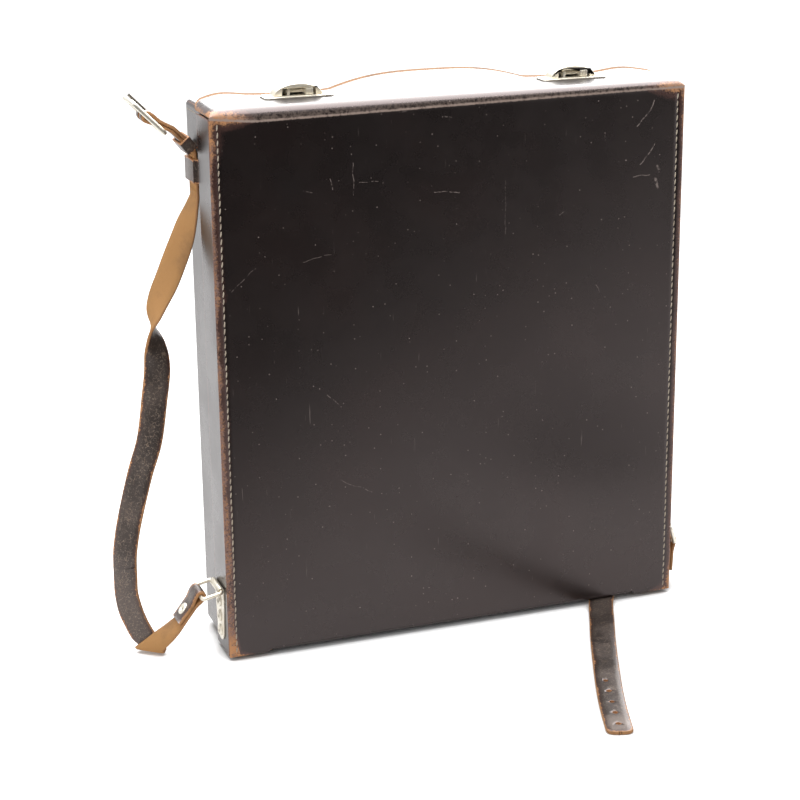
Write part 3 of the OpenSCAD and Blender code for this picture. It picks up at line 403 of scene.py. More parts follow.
def make_metal(name, bright, dull, rough_low, rough_high, spots):
    """Plated metal that has gone dull in soft patches, with a few dark spots."""
    made, g, into = material(name, {"Metallic": 0.7})
    position = g.own_place()
    clouds = g.noise(position, 60.0)
    pits = g.step(g.noise(position, 620.0, 3.0, 0.6), 0.66, 0.78)
    colour = g.mix(g.step(clouds, 0.4, 0.7), bright, dull)
    g.feed(g.mix(g.times(pits, spots), colour, METAL_SPOT), into["Base Color"])
    g.feed(g.step(clouds, 0.3, 0.7, rough_low, rough_high), into["Roughness"])
    g.feed(g.bump(g.noise(position, 800.0), 0.12, 0.00005), into["Normal"])
    return made


def make_board():
    """Pressed fibre board in the walls."""
    made, g, into = material("Fibre board", {"Roughness": 0.85})
    fibre = g.noise(g.stretched(g.own_place(), (0.3, 1.0, 0.3)), 700.0, 5.0, 0.7)
    g.feed(g.mix(fibre, BOARD_DARK, BOARD_PALE), into["Base Color"])
    g.feed(g.bump(fibre, 0.4, 0.0003), into["Normal"])
    return made


hide = make_hide()
# The raw cut edge of the hide, and its flesh side under the flap
hide_edge = make_soft(
    "Cut hide edge", {"Roughness": 0.7, "Specular IOR Level": 0.1}, Graph.rest_place,
    patches=(42.0, 3.0, 0.3, 0.52), tones=((0.12, 0.055, 0.032, 1.0), TAN),
    fine=nap(480.0, 5.0, 0.7), share=0.7, tips=(0.56, 0.31, 0.14, 1.0), relief=(0.6, 0.0003))
hide_back = make_soft(
    "Hide flesh side", {"Roughness": 0.85}, Graph.rest_place,
    patches=(30.0, 3.0, 0.35, 0.7), tones=((0.075, 0.04, 0.026, 1.0), (0.14, 0.075, 0.045, 1.0)),
    fine=nap(900.0, 5.0, 0.7), share=0.5, tips=(0.2, 0.115, 0.07, 1.0), relief=(0.5, 0.0003))
strap_grain = make_strap_grain()
# Tan suede back of the strap, darker where it was handled
strap_flesh = make_soft(
    "Strap flesh side", {"Roughness": 0.88, "Specular IOR Level": 0.15}, Graph.rest_place,
    patches=(36.0, 4.0, 0.42, 0.72), tones=(SUEDE, (0.25, 0.135, 0.066, 1.0)),
    fine=nap(700.0, 6.0, 0.72), share=0.5, tips=(0.53, 0.3, 0.14, 1.0), relief=(0.7, 0.0004))
nickel = make_metal("Worn nickel", (0.76, 0.72, 0.63, 1.0), (0.66, 0.6, 0.49, 1.0), 0.32, 0.46, 0.25)
dark_steel = make_metal("Dark steel", (0.2, 0.18, 0.16, 1.0), (0.1, 0.085, 0.07, 1.0), 0.3, 0.5, 0.6)
old_brass = make_metal("Old brass", (0.6, 0.43, 0.18, 1.0), (0.32, 0.22, 0.1, 1.0), 0.3, 0.48, 0.5)
# Waxed linen thread, grey-beige and twisted
thread = make_soft(
    "Linen thread", {"Roughness": 0.7}, Graph.own_place,
    patches=(70.0, 3.0, 0.35, 0.68), tones=((0.62, 0.53, 0.41, 1.0), (0.42, 0.34, 0.26, 1.0)),
    fine=twist, share=0.35, tips=(0.12, 0.085, 0.06, 1.0), relief=(0.5, 0.0002))
# Dark red short-pile lining, crushed in places
velvet = make_soft(
    "Lining pile", {"Roughness": 0.9, "Sheen Weight": 0.6}, Graph.own_place,
    patches=(22.0, 4.0, 0.36, 0.66), tones=((0.115, 0.012, 0.02, 1.0), (0.2, 0.03, 0.036, 1.0)),
    fine=nap(1600.0, 4.0, 0.7), share=0.4, tips=(0.05, 0.006, 0.01, 1.0), relief=(0.6, 0.0004))
board = make_board()


# ---------------------------------------------------------------- mesh tools

# Width of the rubbed band along a common edge, along a strap's sides and along a tab's
EDGE_BAND, STRAP_BAND, TAB_BAND = 2.2, 2.6, 8.5
# Edge distance of a point that is nowhere near a rubbed edge
UNRUBBED = 20.0
# Finishes of a thickened hide, by number: grain, flesh side, cut edge
HIDE_SLOTS = [hide, hide_back, hide_edge]
FLESH, CUT = 1, 2


def new_object(name, data):
    """A new object in the scene."""
    made = bpy.data.objects.new(name, data)
    bpy.context.scene.collection.objects.link(made)
    return made


def new_mesh(name, points, faces, slots):
    """A mesh from points in millimetres, with its finishes."""
    mesh = bpy.data.meshes.new(name)
    mesh.from_pydata([at(p) for p in points], [], faces)
    for slot in slots:
        mesh.materials.append(slot)
    return mesh


@contextlib.contextmanager
def reworked(mesh):
    """A mesh opened for work on its faces, and put back afterwards."""
    work = bmesh.new()
    work.from_mesh(mesh)
    yield work
    work.to_mesh(mesh)
    work.free()


def paint(mesh, name, values, kind="FLOAT", field="value"):
    """Stores a value for each point, in place of any that it had by this name."""
    if name in mesh.attributes:
        mesh.attributes.remove(mesh.attributes[name])
    mesh.attributes.new(name, kind, "POINT").data.foreach_set(field, values)


def keep_rest(mesh, edge=None):
    """Stores each point's place from the case's middle, and its distance from the nearest rubbed
    edge, as a share of the rubbed band's width."""
    middle = ORIGIN * MM
    paint(mesh, "rest", [c for v in mesh.vertices for c in v.co - middle], "FLOAT_VECTOR", "vector")
    if edge or "edge" not in mesh.attributes:
        paint(mesh, "edge", edge or [UNRUBBED] * len(mesh.vertices))


def new_piece(name, points, faces, slots, body, stands_for=(), kinds=None, edge=None):
    """An object from points in millimetres, which rides on a body and stands for CAD nodes."""
    mesh = new_mesh(name, points, faces, slots)
    if kinds:
        mesh.polygons.foreach_set("material_index", kinds)
    mesh.polygons.foreach_set("use_smooth", [True] * len(faces))
    piece = new_object(name, mesh)
    keep_rest(mesh, edge)
    if body:
        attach(piece, body)
    if stands_for:
        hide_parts(*stands_for)
    return piece


def apply_modifiers(piece):
    """Replaces the piece's mesh with what its modifiers make of it."""
    depsgraph = bpy.context.evaluated_depsgraph_get()
    made = bpy.data.meshes.new_from_object(piece.evaluated_get(depsgraph))
    old = piece.data
    piece.modifiers.clear()
    piece.data = made
    made.name = piece.name
    bpy.data.meshes.remove(old)


def thicken(piece, thickness):
    """Gives a sheet of hide its thickness, to the side away from its grain."""
    thick = piece.modifiers.new("thickness", "SOLIDIFY")
    thick.thickness = thickness * MM
    thick.offset = -1.0
    thick.material_offset = FLESH
    thick.material_offset_rim = CUT
    apply_modifiers(piece)


def cut_away(piece, solid, finish):
    """Cuts a solid out of a piece; the cut faces take the piece's finish of this number."""
    points, faces = solid
    mesh = new_mesh("cutter", points, faces, piece.data.materials)
    keep_rest(mesh)
    mesh.polygons.foreach_set("material_index", [finish] * len(faces))
    with reworked(mesh) as work:
        bmesh.ops.recalc_face_normals(work, faces=work.faces)
    cutter = new_object("cutter", mesh)
    cut = piece.modifiers.new("cut", "BOOLEAN")
    cut.operation = "DIFFERENCE"
    cut.solver = "EXACT"
    cut.object = cutter
    apply_modifiers(piece)
    keep_rest(piece.data)
    bpy.data.objects.remove(cutter)


def grid_faces(rows, columns, closed=False):
    """Quads between rows of points; closed joins the last column to the first."""
    faces = []
    for j in range(rows - 1):
        for i in range(columns if closed else columns - 1):
            k = (i + 1) % columns
            faces.append((j * columns + i, j * columns + k, (j + 1) * columns + k, (j + 1) * columns + i))
    return faces


def ticks(low, high, radius, pitch):
    """Places along one side of a rounded block: close in the rounded part, then evenly spaced."""
    ends = [radius * (1 - math.tan(math.radians(a))) for a in (45, 30, 15, 0)]
    if high - low > 8 * radius:
        ends += [radius * 1.9, radius * 3.2]
    near = [low + e for e in ends]
    far = [high - e for e in ends][::-1]
    span = far[0] - near[-1]
    count = max(1, int(round(span / pitch)))
    return near + [near[-1] + span * i / count for i in range(1, count)] + far


def rounded_block(low, high, radius, pitch):
    """Points, faces and edge distances of a block with rounded edges, finely divided."""
    axes = [ticks(low[a], high[a], radius, pitch) for a in range(3)]
    index, points, faces, edge = {}, [], [], []

    def corner(p):
        key = tuple(round(c, 4) for c in p)
        if key not in index:
            inner = Vector(min(max(p[a], low[a] + radius), high[a] - radius) for a in range(3))
            out = Vector(p) - inner
            index[key] = len(points)
            points.append(inner + out.normalized() * radius if out.length > 1e-9 else Vector(p))
            edge.append(sorted(min(p[a] - low[a], high[a] - p[a]) for a in range(3))[1] / EDGE_BAND)
        return index[key]

    for a in range(3):
        b, c = (a + 1) % 3, (a + 2) % 3
        for value, flip in ((low[a], True), (high[a], False)):
            for i in range(len(axes[b]) - 1):
                for j in range(len(axes[c]) - 1):
                    quad = []
                    for s, t in ((i, j), (i + 1, j), (i + 1, j + 1), (i, j + 1)):
                        p = [0.0, 0.0, 0.0]
                        p[a], p[b], p[c] = value, axes[b][s], axes[c][t]
                        quad.append(corner(p))
                    faces.append(tuple(reversed(quad)) if flip else tuple(quad))
    return points, faces, edge


def round_bar(middle, way, r, reach, sides=24):
    """Points and faces of a bar that cuts a round hole."""
    way = way.normalized()
    one = way.orthogonal().normalized()
    two = way.cross(one)
    points = [middle + way * end * reach + (one * math.cos(a) + two * math.sin(a)) * r
              for end in (-1, 1) for a in [2 * math.pi * k / sides for k in range(sides)]]
    faces = [(k, (k + 1) % sides, sides + (k + 1) % sides, sides + k) for k in range(sides)]
    return points, faces + [tuple(range(sides - 1, -1, -1)), tuple(range(sides, 2 * sides))]


def finish_mesh(mesh, surface):
    mesh.materials.clear()
    mesh.materials.append(surface)


def softened(node, width, body, surface, segments=2, angle=35.0):
    """A copy of a CAD node with the edges that are sharper than angle rounded."""
    mesh = nodes[node].data.copy()
    finish_mesh(mesh, surface)
    with reworked(mesh) as work:
        bmesh.ops.remove_doubles(work, verts=work.verts, dist=1e-6)
        bmesh.ops.dissolve_limit(work, angle_limit=math.radians(1.5), verts=work.verts, edges=work.edges)
        sharp = [e for e in work.edges
                 if len(e.link_faces) == 2 and e.calc_face_angle(0.0) > math.radians(angle)]
        bmesh.ops.bevel(work, geom=sharp, offset=width * MM, segments=segments, profile=0.5,
                        affect="EDGES", clamp_overlap=True)
        for face in work.faces:
            face.smooth = True
        for e in work.edges:
            e.smooth = len(e.link_faces) == 2 and e.calc_face_angle(0.0) < math.radians(angle)
    if "custom_normal" in mesh.attributes:
        mesh.attributes.remove(mesh.attributes["custom_normal"])
    piece = new_object(node + "_piece", mesh)
    keep_rest(mesh)
    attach(piece, body)
    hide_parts(node)
    return piece


def rub_ends(piece, way):
    """Marks the two ends of a loop of leather as rubbed; way runs from one end to the other."""
    mesh = piece.data
    reaches = [v.co.dot(way) / MM for v in mesh.vertices]
    low, high = min(reaches), max(reaches)
    with reworked(mesh) as work:
        for reach in (low + 1.0, low + 2.4, high - 2.4, high - 1.0):
            bmesh.ops.bisect_plane(work, geom=work.verts[:] + work.edges[:] + work.faces[:], dist=1e-7,
                                   plane_co=way * reach * MM, plane_no=way)
    paint(mesh, "edge", [min(v.co.dot(way) / MM - low, high - v.co.dot(way) / MM) / EDGE_BAND
                         for v in mesh.vertices])


def smoothed(rows, steps):
    """A smooth curve through rows of numbers, as the part's source draws it."""
    out = []
    for i in range(len(rows) - 1):
        a, b, c, d = rows[max(i - 1, 0)], rows[i], rows[i + 1], rows[min(i + 2, len(rows) - 1)]
        for s in range(steps):
            t = s / steps
            out.append([0.5 * (2 * q + (r - p) * t + (2 * p - 5 * q + 4 * r - u) * t * t
                               + (3 * q - p - 3 * r + u) * t ** 3) for p, q, r, u in zip(a, b, c, d)])
    return out + [list(rows[-1])]


# Section of a strap: across and out, going round from the grain side; each span's finish is
# 0 for grain, 1 for the flesh side and 2 for the cut edges
HALF_SECTION = [(-8.4, 1.05), (-4.2, 1.2), (0.0, 1.2), (4.2, 1.2), (8.4, 1.05), (8.85, 0.6), (8.95, 0.0),
                (8.85, -0.6)]
SECTION = HALF_SECTION + [(-across, -out) for across, out in HALF_SECTION]
SECTION_FINISH = [0] * 4 + [CUT] * 4 + [FLESH] * 4 + [CUT] * 4


def sweep_strap(name, edges, body, stands_for, grain_out=1, first=0, last=None, caps=(True, True), tip=0,
                band=STRAP_BAND):
    """A strap between pairs of far and near edge points. grain_out is 1 where the grain lies on the
    side of travel x (near to far), and -1 on the other. The last tip rows make a rounded end."""
    last = len(edges) - 1 if last is None else last
    middles = [(far + near) / 2 for far, near in edges]
    halves = [(far - near) / STRAP_W for far, near in edges]
    points, edge = [], []
    for i in range(first, last + 1):
        along = middles[min(i + 1, len(edges) - 1)] - middles[max(i - 1, 0)]
        face = along.cross(halves[i]).normalized() * grain_out
        for across, out in SECTION:
            lift = 0.05 * noise.noise(middles[i] * 0.09 + Vector((across * 0.1, 0, 0)))
            points.append(middles[i] + halves[i] * across + face * (out + lift))
            edge.append(max(0.0, STRAP_W / 2 - abs(across)) / band)
    count, rows = len(SECTION), last - first + 1
    if tip:
        mark_tip(edge, rows, count, tip)
    faces = grid_faces(rows, count, closed=True)
    kinds = [SECTION_FINISH[i % count] for i in range(len(faces))]
    if grain_out > 0:
        faces = [tuple(reversed(f)) for f in faces]
    for wanted, base, flip in ((caps[0], 0, grain_out < 0), (caps[1], (rows - 1) * count, grain_out > 0)):
        if wanted:
            ring = list(range(base, base + count))
            faces.append(tuple(ring if flip else ring[::-1]))
            kinds.append(CUT)
    return new_piece(name, points, faces, [strap_grain, strap_flesh, hide_edge], body, stands_for,
                     kinds, edge)


# How square the strap's rounded end is, and the width of the rubbed band round it
TIP_SQUARE, TIP_BAND = 3.4, 4.0


def tip_row(j, tip):
    """How far row j of a nearly square end reaches, and how wide it is there, both as shares."""
    gone = math.sin(math.radians(89.0 * j / tip))
    return gone, (1 - gone ** TIP_SQUARE) ** (1 / TIP_SQUARE)


def mark_tip(edge, rows, count, tip):
    """Edge distances over a rounded end, whose last rows narrow to nothing."""
    for j in range(tip + 1):
        gone, share = tip_row(j, tip)
        for k, (across, _) in enumerate(SECTION):
            beside = abs(across) / (STRAP_W / 2) * share
            inside = 1 - (beside ** TIP_SQUARE + gone ** TIP_SQUARE) ** (1 / TIP_SQUARE)
            edge[(rows - 1 - tip + j) * count + k] = max(0.0, inside * STRAP_W / 2 / TIP_BAND)


# A stitch swells from its ends: place along it and thickness there, as shares
STITCH_RINGS = ((-0.5, 0.25), (-0.36, 0.8), (0.0, 1.0), (0.36, 0.8), (0.5, 0.25))


def stitches(name, rows, body, length, width, height):
    """Short twisted stitches: each row gives a middle, a way along and a way out."""
    points, faces = [], []
    for middle, along, out in rows:
        along, out = along.normalized(), out.normalized()
        side = along.cross(out)
        base = len(points)
        for t, swell in STITCH_RINGS:
            for k in range(6):
                a = math.radians(60 * k)
                points.append(middle + along * (t * length) + side * (math.cos(a) * width / 2 * swell)
                              + out * ((math.sin(a) * height / 2) * swell - height * 0.5 * abs(t) * 1.2))
        faces += [tuple(base + i for i in quad) for quad in grid_faces(len(STITCH_RINGS), 6, closed=True)]
        faces.append(tuple(base + k for k in range(5, -1, -1)))
        faces.append(tuple(base + 6 * (len(STITCH_RINGS) - 1) + k for k in range(6)))
    return new_piece(name, points, faces, [thread], body)


def sewn(first, last, pitch, place, along, out):
    """Rows of a straight seam; place gives a stitch's middle from how far along it lies."""
    rows = []
    while first < last:
        rows.append((place(first), Vector(along), Vector(out)))
        first += pitch
    return rows


def rise(d, r):
    """Share of the height that a quarter round of radius r has reached at distance d."""
    return 1.0 if d >= r else 0.0 if d <= 0 else math.sqrt(1 - (1 - d / r) ** 2)


def ease(t):
    """A share from 0 to 1, with a soft start and end."""
    return 0.0 if t <= 0 else 1.0 if t >= 1 else t * t * (3 - 2 * t)


def hump(d, width):
    """1 in the middle, dying away over a width on both sides."""
    return math.exp(-(d / width) ** 2)


def spread(low, high, pitch):
    """Even places from low to high, no further apart than pitch."""
    count = max(1, int(math.ceil((high - low) / pitch)))
    return [low + (high - low) * i / count for i in range(count + 1)]


# ---------------------------------------------------------------- camera

# Where the camera stands, and how far it is turned to the right, tipped down and leant over
CAMERA = Vector((-486.9, -1273.9, 590.6))
TO_RIGHT, DOWN, LEAN = math.radians(19.75), math.radians(17.5), math.radians(-0.65)
LENS, SENSOR_W = 90.04, 36.0


def make_camera():
    lens = bpy.data.cameras.new("Camera")
    lens.lens = LENS
    lens.sensor_width = SENSOR_W
    lens.clip_end = 50.0
    camera = new_object("Camera", lens)
    level = Matrix.Rotation(-TO_RIGHT, 4, "Z") @ Matrix.Rotation(math.pi / 2 - DOWN, 4, "X")
    camera.matrix_world = Matrix.Translation(at(CAMERA)) @ level @ Matrix.Rotation(LEAN, 4, "Z")
    bpy.context.scene.camera = camera


make_camera()


# ---------------------------------------------------------------- front, crease and flap

# Height of the pale line along the crease, partly wear and partly a painted highlight, and its half width
CREASE_MIDDLE, CREASE_HALF = 378.6, 1.15
# How far the rubbing reaches from the front's upper and lower corners
TOP_REACH, FOOT_REACH = 32, 20


def bow(x, y):
    """Height of the flap's bows above its flat parts."""
    a = abs(x)
    middle = (1 - (a / BOW_HALF) ** 3) ** 1.2 if a < BOW_HALF else 0.0
    t = (a - EAR_IN) / (HALF_W - EAR_IN)
    ear = math.sin(math.pi * t) ** 2 if 0 < t < 1 else 0.0
    grow = ease((y - FRONT_Y - ROLL) / (FLAP_BACK - FRONT_Y - ROLL))
    return grow * (BOW_H * middle + EAR_H * ear)


def flap_edge(x):
    """Rear edge of the flap at x."""
    a = abs(x)
    side = HALF_W - CORNER_W
    if a > side:
        return RIM_BACK + (FLAP_BACK - RIM_BACK) * math.sqrt(max(0.0, 1 - ((a - side) / CORNER_W) ** 2))
    near = abs(a - LOCK_X) < BOW_HALF / 2
    return FLAP_BACK - (DIP * math.cos(math.pi * (a - LOCK_X) / BOW_HALF) ** 2 if near else 0.0)


def flap_point(x, y):
    z = CREASE_HIGH + (FLAP_Z - CREASE_HIGH) * rise(y - FRONT_Y, ROLL) * rise(HALF_W - abs(x), ROLL)
    return Vector((x, y, z + bow(x, y)))


def side_share(x, z, corner):
    """How far a point is into the rubbed band at the front's side: 0.25 where the bare part ends.
    The bare part is widest low on the left."""
    bare, rubbed = (1.3 + 2.9 * ease((170 - z) / 110), 5.4) if x < 0 else (1.1, 3.2)
    away = (HALF_W - abs(x)) / (1 + corner)
    return 0.25 * away / bare if away < bare else 0.25 + 0.67 * (away - bare) / (rubbed - bare)


def corner_share(x, height, reach):
    """1 at a corner of the front and 0 from reach away; height is measured from the corner."""
    return max(0.0, 1 - math.hypot(HALF_W - abs(x), height) / reach)


def crease_drop(x):
    """The crease hangs a little lower towards the left, but not at the corners."""
    return max(0.0, 1.55 - 0.0117 * x) * min(1.0, (HALF_W - abs(x)) / 30)


def front_point(x, z):
    """A point of the front's upright part: swollen a little, with its stitching groove and crease."""
    side = HALF_W - abs(x)
    low = FRONT_LOW if abs(x) > HINGE_HALF - 1 else FRONT_LOW + HINGE_R
    # Over the hinge the rows below 8 mm lie closer together, because the front ends higher
    height = low + (z - FRONT_LOW) * (8 - low) / (8 - FRONT_LOW) if z < 8 else z
    height -= crease_drop(x) * ease((z - 350) / 28)
    swell = 0.28 * noise.noise(Vector((x * 0.011, 0.0, z * 0.009))) * min(1.0, side / 14, (z - 3) / 20)
    y = FRONT_Y + 0.35 * (1 - min(1.0, side / 1.5)) ** 2 + max(0.0, swell)
    y += GROOVE_DEEP * hump(abs(x) - STITCH_X, GROOVE_HALF)
    return Vector((x, y - 0.11 * hump(z - CREASE_Z, 0.7), height))


def make_front_shell():
    """The one sheet of hide that makes the front, the crease and the flap."""
    half = spread(0.0, 158.0, 4.0) + [160.5, 162.0, 163.2, 164.0, STITCH_X, 165.6, 166.4, 167.4, 168.3, 169.0,
                                      169.5, 169.85, 170.0]
    columns = [-x for x in reversed(half)] + half[1:]
    uprights = [3.0, 3.15, 3.5, 4.0, 4.7, 5.6, 6.6, 8.0, 10.0, 13.0] + spread(17.0, 366.0, 5.0) + [
        370.0, 372.5, 374.5, 376.0, 377.0, 377.6, 378.0, 378.4]
    roll = [ROLL * (1 - math.cos(math.radians(a))) for a in (0, 12, 24, 36, 48, 60, 72, 81, 90)]
    share = [i / 20 for i in range(1, 19)] + [0.925, 0.945, 0.96, 0.975, 0.988, 1.0]
    points, edge, raw, crease_wear_and_highlight = [], [], [], []

    def put(point, worn, bare, line):
        points.append(point)
        edge.append(max(0.0, worn))
        raw.append(min(1.0, bare))
        crease_wear_and_highlight.append(line)

    for z in uprights:
        for x in columns:
            top, foot = corner_share(x, CREASE_Z - z, TOP_REACH), corner_share(x, z - FRONT_LOW, FOOT_REACH)
            worn = min(side_share(x, z, top + foot), (CREASE_Z - z + 1.3) / (1.1 + 14 * top),
                       (z - FRONT_LOW + 0.9) / (0.7 + 9 * foot))
            # The last value is the pale crease line: partly wear, partly a painted highlight
            put(front_point(x, z), worn, 2.2 * max(top, foot), hump(z - CREASE_MIDDLE, CREASE_HALF))
    for d in roll:
        for x in columns:
            p = flap_point(x, FRONT_Y + d)
            top = corner_share(x, p.z - CREASE_Z, TOP_REACH)
            worn = min(side_share(x, p.z, top), (d * 0.8 + 1.3) / (1.1 + 14 * top))
            # The pale crease line, wear with a painted highlight, runs on at half strength into the start of
            # the roll
            line = max(hump(p.z - CREASE_MIDDLE, CREASE_HALF) * hump(d, 1.2), 0.5 * hump(d, 2.4))
            put(p - Vector((0, 0, crease_drop(x) * (1 - rise(d, ROLL)))), worn, 2.2 * top, line)
    for s in share:
        for x in columns:
            gap = (flap_edge(x) - FRONT_Y - ROLL) * (1 - s)
            # The rear edge curls up a little
            curl = 0.8 * max(0.0, 1 - gap / 3.2) ** 2 * min(1.0, (HALF_W - abs(x)) / 6)
            worn = min((HALF_W - abs(x) + 0.3) / 4.0, gap / 8.0)
            put(flap_point(x, flap_edge(x) - gap) + Vector((0, 0, curl)), worn, 0.7, 0.0)
    faces = grid_faces(len(uprights) + len(roll) + len(share), len(columns))
    # The last millimetres before the flap's rear edge are rubbed down to the fibre
    fibre = 4 * (len(columns) - 1)
    kinds = [0] * (len(faces) - fibre) + [CUT] * fibre
    shell = new_piece("front_and_flap", points, faces, HIDE_SLOTS, None,
                      ("front_sheet", "crease_strip", "flap"), kinds=kinds, edge=edge)
    paint(shell.data, "raw", raw)
    paint(shell.data, "crease_wear_and_highlight", crease_wear_and_highlight)
    thicken(shell, SHEET_T)
    cut_slots(shell)
    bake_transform(shell)


def cut_slots(shell):
    """Slots for the staples, cut through the flap."""
    for side in (-1, 1):
        x = side * LOCK_X - 6.0
        points, faces, _ = rounded_block((x - 1.6, -1.6, 376.0), (x + 1.6, 6.4, 392.0), 0.2, 20.0)
        cut_away(shell, (points, faces), CUT)


def make_hinge():
    """The strip of hide that bends under the front edge and is sewn to the base."""
    bend = Vector((FRONT_Y + HINGE_R, FRONT_LOW + HINGE_R))
    profile = [tuple(bend - HINGE_R * heading(a)) for a in range(0, 91, 10)]
    profile += [(y, FRONT_LOW) for y in (-31.5, -30.0, -28.0, -25.0, -22.0, -20.0, HINGE_BACK)]
    columns = spread(-HINGE_HALF + 0.4, HINGE_HALF - 0.4, 5.0)
    points, edge = [], []
    for y, z in profile:
        for x in columns:
            points.append(Vector((x, y, z)))
            edge.append(1.0 + math.hypot(y - FRONT_Y - 1.2, z - FRONT_LOW - 1.2) * 0.6)
    strip = new_piece("hinge_leather", points, [f[::-1] for f in grid_faces(len(profile), len(columns))],
                      HIDE_SLOTS, None, ("hinge_strip",), edge=edge)
    thicken(strip, SHEET_T)
    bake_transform(strip)


def make_front_stitches():
    """Two seams sewn by hand, so no stitch lies quite like the next."""
    rows = []
    dice = random.Random(5)
    for side in (-1, 1):
        z = 8.0
        while z < 373:
            slant = 0.16 + dice.uniform(-0.05, 0.05)
            rows.append((Vector((side * STITCH_X + dice.uniform(-0.12, 0.12), FRONT_Y + 0.22, z)),
                         Vector((slant, 0, 1)), Vector((0, -1, 0))))
            z += 5.0 + dice.uniform(-0.15, 0.15)
    stitches("front_stitches", rows, "cover", length=4.0, width=1.05, height=0.6)


make_front_shell()
make_hinge()
make_front_stitches()


# ---------------------------------------------------------------- rims, box and lining

RIM_ROUND, BOX_ROUND = 0.75, 3.5
# How far a stitch stands proud of the box's hide, and how far the back's seams lie from its edges
PROUD, SEAM_IN = 0.02, 6.0


def make_rims():
    for side, node in ((-1, "rim_left"), (1, "rim_right")):
        near, far = sorted((side * HALF_W, side * (HALF_W - HIDE)))
        points, faces, edge = rounded_block((near, FRONT_Y + HIDE, FRONT_LOW), (far, RIM_BACK, CREASE_Z),
                                            RIM_ROUND, 9.0)
        new_piece(node + "_hide", points, faces, [hide], "cover", (node,), edge=edge)


def make_box_hide():
    """The hide round the box's top, sides, back and base, open at the front."""
    points, faces, edge = rounded_block((-SKIN_X, MOUTH_Y - BOX_ROUND, BOX_LOW), (SKIN_X, BACK_Y, BOX_TOP),
                                        BOX_ROUND, 10.0)
    keep = [f for f in faces if min(points[i].y for i in f) > MOUTH_Y - 0.001]
    for i, p in enumerate(points):
        # The mouth's lip is rubbed too
        edge[i] = min(edge[i], max(0.0, p.y - MOUTH_Y) / EDGE_BAND) + 0.15
    shell = new_piece("box_hide", points, keep, HIDE_SLOTS, None,
                      ("base_skin", "top_skin", "side_skin_left", "side_skin_right", "back_skin"), edge=edge)
    with reworked(shell.data) as work:
        loose = [v for v in work.verts if not v.link_faces]
        bmesh.ops.delete(work, geom=loose, context="VERTS")
    thicken(shell, BOX_HIDE_T)
    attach(shell, "box")


def make_box_stitches():
    """Seams on the two sides' upper edges, and all round the back."""
    rows = []
    dice = random.Random(8)
    back = BACK_Y + PROUD
    for side in (-1, 1):
        rows += sewn(RIM_BACK + 3.0, BACK_Y - 3, 4.8,
                     lambda y: Vector((side * (SKIN_X + PROUD), y, BOX_TOP - 5.8)),
                     (0, 1, 0.1 * side), (side, 0, 0))
    for z in (BOX_TOP - SEAM_IN, BOX_LOW + SEAM_IN):
        rows += sewn(-SKIN_X + SEAM_IN, SKIN_X - 5, 5.0,
                     lambda x: Vector((x, back, z + dice.uniform(-0.1, 0.1))), (1, 0, 0.12), (0, 1, 0))
    for side in (-1, 1):
        rows += sewn(BOX_LOW + 11.0, BOX_TOP - 10, 5.0,
                     lambda z: Vector((side * (SKIN_X - SEAM_IN), back, z)), (0.12, 0, 1), (0, 1, 0))
    stitches("box_stitches", rows, "box", length=3.7, width=1.0, height=0.6)


make_rims()
make_box_hide()
make_box_stitches()
for name in ("base_board", "top_board", "side_board_left", "side_board_right", "back_board", "cover_board"):
    finish_mesh(nodes[name].data, board)
for name in ("box_lining", "cover_lining"):
    finish_mesh(nodes[name].data, velvet)
for name in ("shelf", "upper_divider", "lower_divider_left", "lower_divider_right"):
    softened(name, 0.8, "box", velvet)


# ---------------------------------------------------------------- locks, lugs and feet

for side in ("left", "right"):
    softened("lock_plate_" + side, 0.25, "flap", nickel)
    softened("lock_housing_" + side, 0.6, "flap", nickel, segments=3, angle=45.0)
    softened("lock_button_" + side, 0.3, "button_" + side, nickel)
    softened("staple_" + side, 0.3, "box", nickel)
    softened("lug_" + side, 0.25, "cover", nickel, angle=50.0)
    rub_ends(softened("keeper_" + side, 0.45, "box", strap_grain), Vector((0, 0, 1)))
for name, surface in (("lug_rivets_left", nickel), ("lug_rivets_right", nickel), ("ring_left", nickel),
                      ("ring_right", nickel), ("tab_rivet_left", nickel), ("tab_rivet_right", nickel),
                      ("lock_rivets", nickel), ("buckle_frame", nickel), ("buckle_prong", dark_steel),
                      ("feet", old_brass)):
    finish_mesh(nodes[name].data, surface)


# ---------------------------------------------------------------- strap


def upright(p, y):
    """A place in X and Z, put at y."""
    return Vector((p.x, y, p.y))


rub_ends(softened("strap_sleeve", 0.4, "box", strap_grain),
         upright(heading(SLEEVE_ANGLE), 0))


def fold_ahead(bar, angle, r, length, side):
    """Middle line of one layer of a strap that leaves a bar, from its far end to the bar."""
    u = heading(angle)
    n = side * Vector((-u.y, u.x))
    return [bar + u * length + n * LAYER] + [bar + u * reach + n * (LAYER + share * (r - LAYER))
                                             for reach, share in ((10.5, 0), (8.5, 0.02), (6, 0.3), (3, 0.8))]


def wrapped(bar, angle, r, first_len, back_len):
    """Middle line of a strap that comes to a bar, goes round it and comes back."""
    around = [bar + r * heading(angle + 90 + 18 * i) for i in range(11)]
    return fold_ahead(bar, angle, r, first_len, 1) + around + fold_ahead(bar, angle, r, back_len, -1)[::-1]


RING_L, WIRE_R, BARREL_X = 14.0, 1.4, 172.45
TAB_RUN, TAB_BACK = 20.0, 24.0
TAB_RIVET_AT, TAB_HOLE_R = 15.0, 2.05
LEFT_ANGLE, RIGHT_ANGLE = 232.0, 267.0
WRAP_R = WIRE_R + 0.15 + STRAP_T / 2


def ring_bar(side, tilt):
    turn = math.radians(tilt)
    return Vector((side * (BARREL_X + RING_L * math.cos(turn)), LUG_Z - RING_L * math.sin(turn)))


left_bar, right_bar = ring_bar(-1, 12.0), ring_bar(1, 72.0)


def level_edges(path, y):
    """Edge points of a strap that keeps its width along Y and follows a path in X and Z."""
    half = STRAP_W / 2
    return [(Vector((x, y - half, z)), Vector((x, y + half, z))) for x, z in path]


